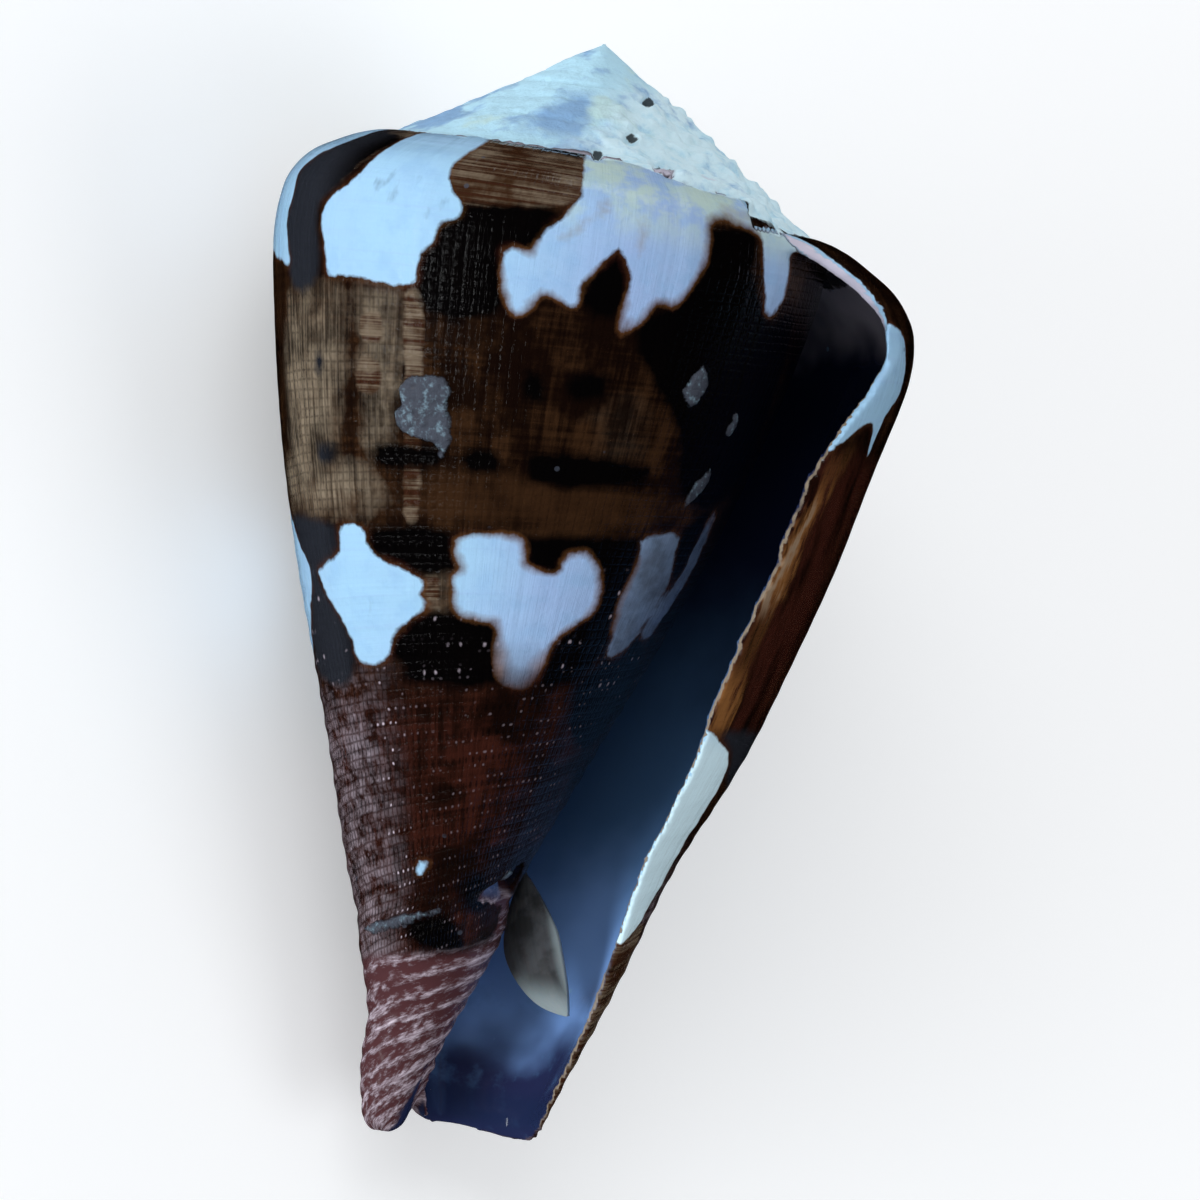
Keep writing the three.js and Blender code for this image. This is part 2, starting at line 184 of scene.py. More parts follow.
# Striated brown panels, and the small red and tan ones between patches.
BROWNS = {
    "shoulder": (
        (281, 48.9), (298, 48.7), (310, 48.7), (309, 47.3), (306, 46.2), (292, 45.5), (285, 45.4),
        (280, 46.9)),
    "shoulder left": ((243, 49.6), (262, 49.2), (258, 46.9), (254, 45.6), (247, 44.6), (243, 46.2)),
    "dark red": ((281, 27.6), (285.5, 27.7), (286, 26.0), (282, 26.1)),
    "dark red, upper": ((263, 39.6), (269, 39.8), (269, 38.4), (263, 38.3)),
    "dark red, lower": ((262, 37.4), (269, 37.6), (269, 36.0), (262, 35.9)),
    "dark column": ((274, 41.0), (279, 41.0), (280, 36), (280, 30.2), (275, 30.0), (276, 36)),
    "lip foot": ((2, 11.5), (20, 12.5), (26, 8), (40, 2), (20, 1), (10, 6)),
}
# Tan panels of the ground. The last, a column split by the small dark red panels, is a painted highlight;
# the tan on the left side is partly painted light.
TANS = {
    "between whites": ((285, 27.5), (290, 27.7), (291, 26.1), (286, 26.2)),
    "left column": ((236, 40.2), (258, 40.6), (256, 35), (250, 31.4), (238, 31), (230, 33)),
    "belt, upper": ((222, 32.1), (262, 32.3), (268, 31.2), (262, 30.3), (224, 29.8)),
    "patch": ((318, 37.0), (331, 37.6), (333, 35.0), (324, 34.7)),
    "painted highlight column": ((263, 40.8), (272, 41.0), (273, 37), (272, 33.8), (264, 33.6), (265, 37)),
}
CRUSTS = {
    "large": (
        (278, 37.0), (283, 37.2), (286, 36.9), (286, 35.9), (287, 35.1), (287, 34.1), (285, 33.3),
        (284, 34.0), (280, 34.1), (274, 34.5), (273, 35.2), (275, 35.6), (274, 36.3), (276, 36.8)),
    "right": ((344, 39.8), (347, 38.9), (345, 38.0), (343, 37.6), (340, 38.5), (342, 39.3)),
    "by the mouth": ((359, 37.8), (361.5, 37.6), (361, 36.7), (358.6, 36.5), (357.8, 37.1)),
    "by the mouth, below": ((358, 35.0), (359, 34.2), (356, 33.4), (353, 32.8), (352.5, 33.7), (355, 34.4)),
    "low streak": ((236, 9.9), (258, 10.6), (278, 11.2), (292, 11.6), (284, 11.1), (264, 10.3), (246, 9.8)),
    "low": ((334, 13.6), (341, 13.9), (350, 13.8), (353, 13.3), (344, 12.9), (335, 13.1)),
}
# Olive streaks that part the white of the shoulder.
STREAKS = {
    "first": ((304.5, 44.5), (308, 45.1), (312, 46.2), (311.8, 45.8), (308, 44.6)),
    "second": ((312.6, 46.7), (315, 46.9), (315.2, 46.1), (313, 45.9)),
    "third": ((321.6, 46.5), (323.6, 46.2), (323, 44.4), (322, 44.7)),
    "fourth": ((341, 47.9), (352, 47.7), (353, 47.2), (343, 47.3)),
}
# Every kind of marking, by the name that the material uses.
KINDS = {"black": BLACKS, "panel": BROWNS, "tan": TANS, "crust": CRUSTS, "white": WHITES, "streak": STREAKS}
# Copies round the back: (kind, outline, degrees towards the lip, stretch round the shell, rise).
ROUND_THE_BACK = (
    (WHITES, "shoulder left", 128, 1.25, 0.3), (WHITES, "shoulder right", 262, 0.75, -0.6),
    (WHITES, "belt middle", 156, 1.05, -0.5), (WHITES, "belt left", 167, 0.95, 0.4),
    (WHITES, "belt right", 296, 1.0, 0.2), (WHITES, "belt left", 212, 0.7, -0.2),
    (BLACKS, "shoulder left", 112, 1.3, -0.2), (BLACKS, "shoulder notch", 246, 1.6, -0.4),
    (BLACKS, "shoulder left", 200, 1.1, 0.2), (BLACKS, "belt left", 100, 1.6, 0.2),
    (BLACKS, "belt right", 214, 1.1, -0.3), (BLACKS, "belt left, below", 118, 1.2, 0.1),
    (BLACKS, "belt left, below", 170, 1.2, 0.3), (BLACKS, "belt left, below", 228, 1.3, 0.2),
    (BLACKS, "dash 3", 150, 1.2, 0.1), (BLACKS, "dash 3", 205, 1.0, -0.1), (BLACKS, "dash 1", 110, 1.1, 0.2),
    (BLACKS, "dash 2", 210, 1.2, 0), (BLACKS, "dash 5", 160, 1.5, 0.3), (BLACKS, "dash 7", 236, 1.2, 0.1),
    (BROWNS, "shoulder", 120, 1.3, -0.2), (BROWNS, "shoulder", 215, 1.1, 0.1),
    (TANS, "belt, upper", 150, 1.3, 0.1), (TANS, "left column", 140, 1.0, 0.4), (TANS, "patch", 228, 1.3, 0),
    (CRUSTS, "large", 140, 1.2, 2.0), (CRUSTS, "right", 250, 1.3, -1.5), (CRUSTS, "low", 170, 1.2, 6.0),
)
# Pits in the worn spire, seen from the front: (x, height), radius and depth.
SPIRE_PITS = (
    ((2.6, 52.4), 0.42, 0.6), ((2.1, 50.3), 0.38, 0.55), ((0.6, 49.1), 0.4, 0.35), ((4.2, 48.8), 0.36, 0.45),
    ((3.6, 48.9), 0.2, 0.3),
)


def smoothstep(x, low, high):
    u = np.clip((x - low) / (high - low), 0, 1)
    return u * u * (3 - 2 * u)


def lerp(a, b, u):
    return a + (b - a) * u


def smooth_curve(points, steps=24):
    """A smooth curve through points, as a function of their first number."""
    points = np.array(sorted(map(tuple, points)), float)
    x, y = points[:, 0], points[:, 1]
    slope = np.empty_like(y)
    slope[1:-1] = (y[2:] - y[:-2]) / (x[2:] - x[:-2])
    slope[0] = (y[1] - y[0]) / (x[1] - x[0])
    slope[-1] = (y[-1] - y[-2]) / (x[-1] - x[-2])
    dense_x, dense_y = [], []
    for i in range(len(x) - 1):
        u = np.linspace(0, 1, steps, endpoint=False)
        h = x[i + 1] - x[i]
        dense_x.append(x[i] + u * h)
        dense_y.append(
            y[i] * (1 + 2 * u) * (1 - u) ** 2 + slope[i] * h * u * (1 - u) ** 2
            + y[i + 1] * u * u * (3 - 2 * u) + slope[i + 1] * h * u * u * (u - 1)
        )
    dense_x = np.append(np.concatenate(dense_x), x[-1])
    dense_y = np.append(np.concatenate(dense_y), y[-1])
    return lambda value: np.interp(value, dense_x, dense_y)


outline_radius = smooth_curve(OUTLINE)
rim_height = smooth_curve(RIM)
lip_retreat = smooth_curve(LIP_RETREAT)
pillar_centre = smooth_curve([(h, x) for h, x, r in PILLAR])
pillar_radius = smooth_curve([(h, r) for h, x, r in PILLAR])
foot_top = smooth_curve(FOOT_TOP)


class ConeShellSizes(bpy.types.PropertyGroup):
    """Sizes that a user would change."""

    length: bpy.props.FloatProperty(
        name="Length", description="Apex to siphonal tip", default=0.055, unit="LENGTH")
    expansion: bpy.props.FloatProperty(
        name="Growth per turn", description="How much the shell grows in one turn", default=1.38)
    wall: bpy.props.FloatProperty(
        name="Wall", description="Wall thickness behind the lip", default=0.00125, unit="LENGTH")
    lip_wall: bpy.props.FloatProperty(
        name="Lip wall", description="Wall thickness at the lip's edge", default=0.0006, unit="LENGTH")
    leaf: bpy.props.FloatProperty(
        name="Operculum", description="Thickness of the operculum", default=0.0004, unit="LENGTH")
    voxel: bpy.props.FloatProperty(
        name="Voxel", description="Spacing of the skin that joins the grown parts", default=0.0002,
        unit="LENGTH")
    triangles: bpy.props.IntProperty(
        name="Triangles", description="Most triangles in the finished shell", default=190000)
    roll: bpy.props.FloatProperty(
        name="Roll", description="Turn of the lying shell about its own axis", default=math.radians(-29),
        subtype="ANGLE")
    tip: bpy.props.FloatProperty(
        name="Tip", description="How far the standing shell is tipped over to lie down",
        default=math.radians(-77.1), subtype="ANGLE")


def colour(name, description, default):
    return bpy.props.FloatVectorProperty(
        name=name, description=description, default=default, subtype="COLOR", min=0, max=1)


class ConeShellColours(bpy.types.PropertyGroup):
    """Colours that a user would change."""

    white: colour("White", "Patches in full light", (0.335, 0.55, 0.74))
    # Violet of the patches' growth streaks, and their painted shade towards the right side of the shell.
    cool_white: colour("Cool white", "Violet shade of the patches", (0.32, 0.44, 0.70))
    black: colour("Black", "Black patches", (0.0012, 0.0009, 0.001))
    # Also laid over the ground as painted shade towards the right side of the shell.
    dark_brown: colour("Dark brown", "Darkest of the ground", (0.0055, 0.0022, 0.0014))
    brown: colour("Brown", "Ground between the black streaks", (0.036, 0.0155, 0.0065))
    red_brown: colour("Red brown", "Low ground and the fringes of the patches", (0.038, 0.0100, 0.0062))
    # Also the painted light of the ground's left side and of the painted highlight column.
    tan: colour("Tan", "Pale streaks of the ground", (0.28, 0.22, 0.155))
    chalk: colour("Chalk", "Worn spire", (0.46, 0.73, 0.87))
    # Also painted light on the white low on the lip.
    chalk_pale: colour("Pale chalk", "Crumbs of the worn spire", (0.66, 0.86, 0.94))
    chalk_blue: colour("Blue chalk", "Violet blue of the worn spire", (0.24, 0.42, 0.66))
    chalk_yellow: colour("Yellow chalk", "Yellow tint of the worn spire", (0.55, 0.68, 0.52))
    # Also painted shade on the low whites of the right side and a painted sheen on the black patches of the
    # left side.
    crust: colour("Crust", "Grey crusts", (0.060, 0.068, 0.090))
    # The mouth's colours stand for light and shade down its wall: a pale painted glow at the top, painted
    # shade below it, paler painted light above the canal and violet darkened as painted shade by the canal.
    mouth_top: colour("Mouth, top", "Under the shoulder", (0.60, 0.56, 0.66))
    mouth_dark: colour("Mouth, dark", "Below the top", (0.012, 0.020, 0.060))
    mouth_middle: colour("Mouth, middle", "Steel blue wall of the mouth", (0.075, 0.165, 0.330))
    mouth_low: colour("Mouth, low", "Paler blue above the canal", (0.215, 0.385, 0.760))
    mouth_base: colour("Mouth, base", "Violet blue by the canal", (0.017, 0.021, 0.066))
    amber: colour("Amber", "Pale streaks beside the lip", (0.25, 0.105, 0.032))
    # Also painted as the pale dots, the painted glints among them and the painted sheen low on the left
    # side.
    foot_crest: colour("Foot, crest", "Ridges of the foot", (0.60, 0.50, 0.57))
    foot_trough: colour("Foot, trough", "Grooves of the foot", (0.075, 0.027, 0.030))
    horn_pale: colour("Pale horn", "Tip of the operculum", (0.30, 0.36, 0.37))
    # Its paler copy is painted light on the operculum's upper part.
    horn: colour("Horn", "Operculum", (0.060, 0.062, 0.066))


def sizes():
    return bpy.context.scene.cone_shell_sizes


def colours():
    return bpy.context.scene.cone_shell_colours


# ---------------------------------------------------------------- growth


def length_mm():
    return sizes().length / MM


def growth_scale(turn):
    return sizes().expansion ** turn


def surface_radius(turn, height):
    """Radius of the outer surface grown at a turn, at a height."""
    s = growth_scale(turn)
    swell = 0.85 * np.exp(-(((turn + 0.6) / 0.2) ** 2)) * np.exp(-(((height - 11.5) / 7.0) ** 2))
    pinch = 0.5 * np.exp(-(((turn + 0.06) / 0.13) ** 2)) * np.exp(-(((height - 15.0) / 4.5) ** 2))
    return outline_radius((length_mm() - height) / s) * s + swell - pinch


def place(azimuth, radius, height):
    """Points of the shell's own frame from azimuths in degrees, radii and heights."""
    a = np.radians(azimuth)
    x = radius * np.cos(a)
    return np.stack([x, radius * np.sin(a), height - shoulder_tilt(x, height)], -1)


def shoulder_tilt(x, height):
    """How far the shoulder and spire lean down towards the lip."""
    return 0.035 * x * smoothstep(height, 36, 48)


def wall_thickness(turn):
    u = smoothstep(-turn, 0, 0.16)
    return lerp(sizes().lip_wall, sizes().wall, u) / MM * np.minimum(1, growth_scale(turn) * 1.15)


def wall_section(turn, outer_rows=120, floor_rows=6, inner_rows=70):
    """The wall's closed section at each turn, as radii and heights of shape (rows, turns)."""
    s = growth_scale(turn)
    wall = wall_thickness(turn)
    top = length_mm() - OUTLINE[0][0] * s
    rim = rim_height(turn)
    share = np.linspace(0, 1, outer_rows)[:, None] ** 1.15
    height = lerp(top, rim, share)
    rings = [(OUTLINE[0][1] * s - 1.2, top - 0.6), (surface_radius(turn, height), height)]
    closed = smoothstep(-turn, 0.4, 0.54)
    foot = surface_radius(turn, rim)
    inward = lerp(foot - wall, 0.3, closed)
    floor = rim + 1.1 * closed
    u = np.linspace(0, 1, floor_rows)[1:, None]
    rings.append((lerp(foot, inward, u), rim + 0 * u * foot))
    roof = length_mm() - OUTLINE[0][0] * s - wall - 0.2
    height = lerp(floor, roof, np.linspace(0, 1, inner_rows)[:, None] ** 0.8)
    core = surface_radius(turn - 1, height)
    inner = np.maximum(surface_radius(turn, height + 0.8 * wall) - wall, core + 0.15)
    inner[0] = np.maximum(surface_radius(turn, floor) - wall, 0.35)
    rings.append((inner, height))
    rings.append((core[-1] - 1.0, roof))
    rings.append(rings[0])
    radius = np.concatenate([np.atleast_2d(r + 0 * s) for r, h in rings])
    height = np.concatenate([np.atleast_2d(h + 0 * s) for r, h in rings])
    return radius, height


def core_section(turn, cone_rows=40, body_rows=110):
    """The filled inside at each turn: the spire's cone, then the surface of one turn earlier."""
    s = growth_scale(turn)
    u = np.linspace(0, 1, cone_rows)[:, None]
    rings = [(SUTURE[1] * s * u, length_mm() - SUTURE[0] * s * u)]
    top = length_mm() - OUTLINE[0][0] * s
    bottom = length_mm() - OLDER_END * growth_scale(turn - 1)
    height = lerp(top, bottom, np.linspace(0, 1, body_rows)[1:, None])
    fade = smoothstep((length_mm() - height) / growth_scale(turn - 1), 60, OLDER_END)
    rings.append((surface_radius(turn - 1, height) * (1 - fade), height))
    radius = np.concatenate([r for r, h in rings])
    height = np.concatenate([h for r, h in rings])
    return radius, height


# ---------------------------------------------------------------- modelling helpers


def deselect_all():
    if bpy.context.object and bpy.context.object.mode != "OBJECT":
        bpy.ops.object.mode_set(mode="OBJECT")
    bpy.ops.object.select_all(action="DESELECT")


def make_active(obj):
    deselect_all()
    obj.select_set(True)
    bpy.context.view_layer.objects.active = obj


def coordinates(obj):
    co = np.empty(len(obj.data.vertices) * 3, np.float32)
    obj.data.vertices.foreach_get("co", co)
    return co.reshape(-1, 3).astype(float)


def set_coordinates(obj, co):
    obj.data.vertices.foreach_set("co", np.asarray(co, np.float32).ravel())
    obj.data.update()


def normals(obj):
    normal = np.empty(len(obj.data.vertices) * 3, np.float32)
    obj.data.vertices.foreach_get("normal", normal)
    return normal.reshape(-1, 3).astype(float)


def set_attribute(obj, name, values):
    attribute = obj.data.attributes.new(name, "FLOAT", "POINT")
    attribute.data.foreach_set("value", np.asarray(values, np.float32))


def modify(obj, kind, **settings):
    """Adds a modifier and applies it."""
    make_active(obj)
    modifier = obj.modifiers.new(kind.title(), kind)
    for key, value in settings.items():
        setattr(modifier, key, value)
    bpy.ops.object.modifier_apply(modifier=modifier.name)


def relax(obj, weights, repeats):
    """Smooths the mesh where the weights are above zero."""
    group = obj.vertex_groups.new(name="relax")
    steps = np.round(np.clip(weights, 0, 1) * 4).astype(int)
    for step in range(1, 5):
        group.add(np.flatnonzero(steps == step).tolist(), step / 4, "REPLACE")
    modify(obj, "SMOOTH", factor=0.5, iterations=repeats, vertex_group=group.name)
    obj.vertex_groups.clear()


def grow_sheet(name, section, azimuth_shift, columns):
    """Lays a grid on a growing section over one turn and closes it into a solid."""
    turn = np.linspace(0, -1, columns + 1)
    radius, height = section(turn)
    rows = len(radius)
    deselect_all()
    bpy.ops.mesh.primitive_grid_add(x_subdivisions=columns, y_subdivisions=rows - 1, size=2)
    sheet = bpy.context.active_object
    sheet.name = name
    co = coordinates(sheet)
    column = np.rint((co[:, 0] + 1) / 2 * columns).astype(int)
    row = np.rint((co[:, 1] + 1) / 2 * (rows - 1)).astype(int)
    shift = azimuth_shift(turn[column], radius[row, column], height[row, column])
    azimuth = LIP_AZIMUTH - 360 * turn[column] + shift
    set_coordinates(sheet, place(azimuth, radius[row, column], height[row, column]))
    bpy.ops.object.mode_set(mode="EDIT")
    bpy.ops.mesh.select_all(action="SELECT")
    bpy.ops.mesh.remove_doubles(threshold=0.0005)
    bpy.ops.mesh.select_all(action="DESELECT")
    bpy.ops.mesh.select_non_manifold()
    bpy.ops.mesh.fill_holes(sides=0)
    bpy.ops.mesh.select_all(action="SELECT")
    bpy.ops.mesh.normals_make_consistent(inside=False)
    bpy.ops.object.mode_set(mode="OBJECT")
    return sheet


def follow_lip(turn, radius, height):
    """Degrees by which the wall stands back so that its edge follows the lip."""
    inner = surface_radius(turn - 1, height)
    outer = surface_radius(turn, height) - sizes().lip_wall / MM
    outward = smoothstep(radius, inner + 0.1, lerp(inner, outer, 0.8))
    return lip_retreat(height) * (1 - smoothstep(-turn, 0, 0.3)) * outward


def grow_pillar():
    """The columella's lower end: a circle extruded up through its widths."""
    deselect_all()
    heights = np.linspace(PILLAR[0][0], PILLAR[-1][0], 40)
    start = (float(pillar_centre(heights[0])), 0, float(heights[0]))
    bpy.ops.mesh.primitive_circle_add(
        vertices=64, radius=float(pillar_radius(heights[0])), fill_type="NGON", location=start)
    pillar = bpy.context.active_object
    pillar.name = "columella"
    bpy.ops.object.transform_apply(location=True, rotation=True, scale=True)
    bpy.ops.object.mode_set(mode="EDIT")
    bpy.ops.mesh.select_all(action="SELECT")
    for low, high in zip(heights[:-1], heights[1:]):
        shift = (float(pillar_centre(high) - pillar_centre(low)), 0, float(high - low))
        bpy.ops.mesh.extrude_region_move(TRANSFORM_OT_translate={"value": shift})
        growth = float(pillar_radius(high) / pillar_radius(low))
        centre = (float(pillar_centre(high)), 0, float(high))
        bpy.ops.transform.resize(value=(growth, growth, 1), center_override=centre)
    bpy.ops.mesh.select_all(action="SELECT")
    bpy.ops.mesh.normals_make_consistent(inside=False)
    bpy.ops.object.mode_set(mode="OBJECT")
    return pillar


def turned():
    """The turn that lays the standing shell down, as a 3 by 3 matrix."""
    return np.array(Matrix.Rotation(sizes().tip, 3, "X") @ Matrix.Rotation(sizes().roll, 3, "Z"))


def to_ground(points):
    """Points of the shell's own frame, in millimetres, to where the shell lies, in metres."""
    turn = turned()
    frame_points = coordinates(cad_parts["shell"])
    apex = frame_points[np.argmax(frame_points @ turn[:, 2])]
    offset = apex - turn[:, 2] * sizes().length
    return np.asarray(points, float) @ turn.T * MM + offset


# ---------------------------------------------------------------- the shell's surface


def noise(points, width, seed):
    """Smooth noise from 0 to 1, with bumps about as wide as the given width."""
    p = np.asarray(points, float) / width
    cell = np.floor(p).astype(np.int64)
    u = p - cell
    u = u * u * (3 - 2 * u)
    total = 0
    for corner in np.ndindex(2, 2, 2):
        x, y, z = (cell + corner).T
        key = (x * 73856093) ^ (y * 19349663) ^ (z * 83492791) ^ (seed * 2654435)
        key = ((key ^ (key >> 13)) * 1274126177) & 0xFFFFFFFF
        key = ((key ^ (key >> 15)) * 668265263) & 0xFFFFFF
        weight = np.prod(np.where(corner, u, 1 - u), axis=1)
        total = total + weight * key / 0xFFFFFF
    return total


def rough(points, width, seed, layers=3):
    """Layered noise about zero, from -1 to 1."""
    total = sum(noise(points, width / 2**i, seed + i) / 2**i for i in range(layers))
    return total / (2 - 2 ** (1 - layers)) * 2 - 1


FAR = 2.0
FOOT_PITCH = 1.07
FOOT_CLIMB = 7
CORD_PITCH = 1.65
DOT_STEP = 4.0
# Healed breaks of the lip, as (degrees behind the lip, step in millimetres).
SCARS = ((275, 0.09), (333, 0.05), (203, 0.06), (128, 0.07), (58, 0.05), (356, 0.05))


class Whereabouts:
    """Where each point of the shell's surface sits: which surface, how far behind the lip, how deep."""

    def __init__(self, co, normal):
        x, y, z = co.T
        self.height = z + shoulder_tilt(x, z)
        self.radius = np.hypot(x, y)
        ahead = (np.degrees(np.arctan2(y, x)) - LIP_AZIMUTH + 9) % 360 - 9
        turn = -ahead / 360
        outside = surface_radius(turn, self.height)
        older = surface_radius(turn - 1, self.height)
        wall = wall_thickness(turn)
        scale = growth_scale(turn)
        depth = (length_mm() - self.height) / scale
        slope = SUTURE[0] / SUTURE[1]
        self.on_spire = (depth < slope * self.radius / scale + 0.8) & (self.radius < 12.2 * scale)
        core = (self.radius < (older + outside - wall) / 2) & ~self.on_spire
        to_pillar = np.hypot(x - pillar_centre(self.height), y) - pillar_radius(self.height)
        self.pillar = (1 - smoothstep(to_pillar, 0.25, 0.6)) * (1 - smoothstep(self.height, 11.5, 14.5))
        self.pillar *= self.radius < outside - 0.3
        self.behind = ahead + 360 * core
        self.depth = (length_mm() - self.height) / np.where(core, scale / sizes().expansion, scale)
        facing_in = -(normal[:, 0] * x + normal[:, 1] * y) / np.maximum(self.radius, 0.1)
        inward = smoothstep(outside - self.radius, 0.3 * wall, 0.62 * wall)
        near_foot = (self.radius > outside - 3) * (1 - smoothstep(self.height, 7, 11))
        inward = np.maximum(inward, smoothstep(facing_in, 0.1, 0.4) * near_foot)
        self.mouth = inward * ~core * ~self.on_spire * (1 - self.pillar)
        self.core = core
        rim = SPIRE_EDGE[1] * scale
        cone = (rim - self.radius) * CONE_SLANT
        below = np.maximum(depth - SPIRE_EDGE[0], 0) * scale
        away = -np.hypot(np.maximum(self.radius - rim, 0), below) - 2 * self.mouth - 2 * core
        over = 0.6 * smoothstep(self.behind, 225, 262) + 1.8 * smoothstep(self.behind, 316, 340)
        self.spire = np.where(self.on_spire, np.maximum(cone, 0), away) + over
        self.older_whorls = np.log(np.maximum(NEXT_SEAM * scale, 0.1) / np.maximum(self.radius, 0.1))
        self.older_whorls /= math.log(sizes().expansion)
        self.foot = smoothstep(foot_top(self.behind) - self.height, -0.25, 0.45) * (1 - self.mouth)
        self.foot *= ~self.on_spire * (self.behind > 100)
        self.foot = np.maximum(self.foot, self.pillar)
        around = (np.degrees(np.arctan2(y, x - pillar_centre(self.height))) + 270) % 360
        climb = self.height - around * FOOT_CLIMB * FOOT_PITCH / 360
        self.around = around
        self.climb = (climb + 0.22 * rough(co, 2.5, 81, 2)) / FOOT_PITCH
        self.ridge = np.cos(2 * np.pi * self.climb)
        self.from_lip = ahead - lip_retreat(self.height)

    def cover(self, outlines):
        """Signed distance in millimetres to the nearest outline, positive inside it."""
        result = np.full(len(self.height), -FAR)
        for outline in outlines:
            result = np.maximum(result, self.distance(outline))
        return np.where(self.mouth > 0.5, -FAR, result)

    def distance(self, outline):
        outline = rounded(outline)
        middle = outline.mean(0)
        stretch = math.radians(1) * float(surface_radius(-middle[0] / 360, middle[1]))
        corners = outline * (stretch, 1)
        points = np.stack([self.behind * stretch, self.height], 1)
        near = ((points > corners.min(0) - FAR) & (points < corners.max(0) + FAR)).all(1)
        p = points[near]
        distance = np.full(len(p), FAR)
        inside = np.zeros(len(p), bool)
        for a, b in zip(corners, np.roll(corners, -1, 0)):
            edge = b - a
            u = np.clip((p - a) @ edge / max(edge @ edge, 1e-9), 0, 1)
            distance = np.minimum(distance, np.hypot(*(p - a - u[:, None] * edge).T))
            crossing = (a[1] > p[:, 1]) != (b[1] > p[:, 1])
            reach = a[0] + (p[:, 1] - a[1]) * edge[0] / (edge[1] or 1e-9)
            inside ^= crossing & (p[:, 0] < reach)
        result = np.full(len(points), -FAR)
        result[near] = np.where(inside, distance, -distance)
        return result


def rounded(outline, steps=3):
    """A closed outline with its corners rounded off."""
    p = np.array(outline, float)
    if len(p) < 7:
        onward = np.roll(p, -1, 0) - p
        p = np.stack([p + 0.18 * onward, p + 0.82 * onward], 1).reshape(-1, 2)
    before, after, next_but_one = np.roll(p, 1, 0), np.roll(p, -1, 0), np.roll(p, -2, 0)
    result = []
    for u in np.arange(steps) / steps:
        result.append(
            p + u * (after - before) / 2 + u * u * (before - 2.5 * p + 2 * after - next_but_one / 2)
            + u**3 * (next_but_one - before + 3 * (p - after)) / 2)
    return np.stack(result, 1).reshape(-1, 2)


def moved(outline, towards_lip, stretch, rise):
    """A marking carried round the shell along the way it grows."""
    p = np.array(outline, float)
    middle = p[:, 0].mean()
    behind = middle - towards_lip + (p[:, 0] - middle) * stretch
    growth = sizes().expansion ** (towards_lip / 360)
    return np.stack([behind, length_mm() - (length_mm() - p[:, 1]) * growth + rise], 1)


def outlines_of(kind):
    """All outlines of one kind of marking, with their copies round the back."""
    result = [np.array(outline, float) for outline in kind.values()]
    for copied, name, towards_lip, stretch, rise in ROUND_THE_BACK:
        if copied is kind:
            result.append(moved(kind[name], towards_lip, stretch, rise))
    return result


def crumbs_over(at, co):
    """How crumbly the worn spire is: smoother on its left, rough on its right and low down."""
    return smoothstep(co[:, 0] + 0.35 * (at.radius - 6) + 0.8 * rough(co, 3, 45, 1), -1.2, 2.2)


def glaze_relief(at, co):
    """Cords with granules, growth lines, waves and scars of the glazed outside, in millimetres."""
    body = (1 - at.mouth) * (1 - at.foot) * ~at.on_spire * smoothstep(np.abs(at.from_lip), 0.5, 6)
    cord = np.cos(2 * np.pi * at.depth / CORD_PITCH)
    move = cord * lerp(0.004, 0.024, smoothstep(at.depth, 22, 48))
    move += np.cos(4 * np.pi * at.depth / CORD_PITCH) * 0.008 * smoothstep(at.depth, 30, 44)
    grains = np.cos(2 * np.pi * at.behind / DOT_STEP) * np.clip(cord, 0, 1)
    move += grains * 0.012 * smoothstep(at.depth, 26, 40)
    along = np.stack([at.behind, at.depth / 8, 0 * at.depth], 1)
    move += 0.022 * rough(along, 2.2, 3, 2)
    move += 0.07 * rough(co, 7, 11, 2)
    for scar, step in SCARS:
        wander = scar + 1.5 * rough(np.stack([at.height, 0 * at.height, 0 * at.height + scar], 1), 9, 5, 1)
        up = smoothstep(at.behind, wander - 1, wander + 1)
        move += step * (up - smoothstep(at.behind, wander, wander + 14))
    return body * move


def spire_relief(at, co):
    """Crumbs, seams, the broken suture and pits of the worn spire, in millimetres."""
    worn = smoothstep(at.spire + 0.5 * rough(co, 2.6, 41, 3), -0.15, 0.35)
    crumbly = worn * lerp(0.3, 1.0, crumbs_over(at, co))
    move = worn * 0.17 * rough(co, 3.6, 42, 2)
    move += crumbly * (0.34 * rough(co, 1.0, 43, 3) + 0.26 * np.maximum(rough(co, 0.6, 47, 1), 0))
    seam = at.older_whorls - np.rint(at.older_whorls)
    seam_depth = 0.1 * smoothstep(rough(co, 2.2, 53, 2), -0.5, 0.4) * smoothstep(at.radius, 1, 4)
    move -= seam_depth * np.exp(-((seam / 0.09) ** 2)) * at.on_spire * (at.older_whorls > 0.5)
    suture = np.exp(-(((at.spire - 0.05) / 0.17) ** 2))
    move -= 0.22 * suture * smoothstep(rough(co, 3, 51, 1), -0.9, -0.2) * (at.mouth < 0.5)
    for (x, z), size, deep in SPIRE_PITS:
        distance = np.hypot(co[:, 0] - x, co[:, 2] - z) + 0.25 * size * rough(co, 0.5, 61, 1)
        move -= deep * (1 - smoothstep(distance, 0.45 * size, size)) * (co[:, 1] < 0)
    return move


def chip_lip(at, co):
    """Turns the lip's edge back in small bites."""
    chip = rough(np.stack([at.height, 0 * at.height, 0 * at.height], 1), 0.9, 71, 3) * 0.9 + 0.15
    on_edge = (at.from_lip > -6) * ~at.core * ~at.on_spire * (1 - at.pillar)
    bite = np.radians(chip * (1 - smoothstep(at.from_lip, 1, 5))) * on_edge
    x, y = co[:, 0].copy(), co[:, 1].copy()
    co[:, 0] = x * np.cos(bite) - y * np.sin(bite)
    co[:, 1] = x * np.sin(bite) + y * np.cos(bite)


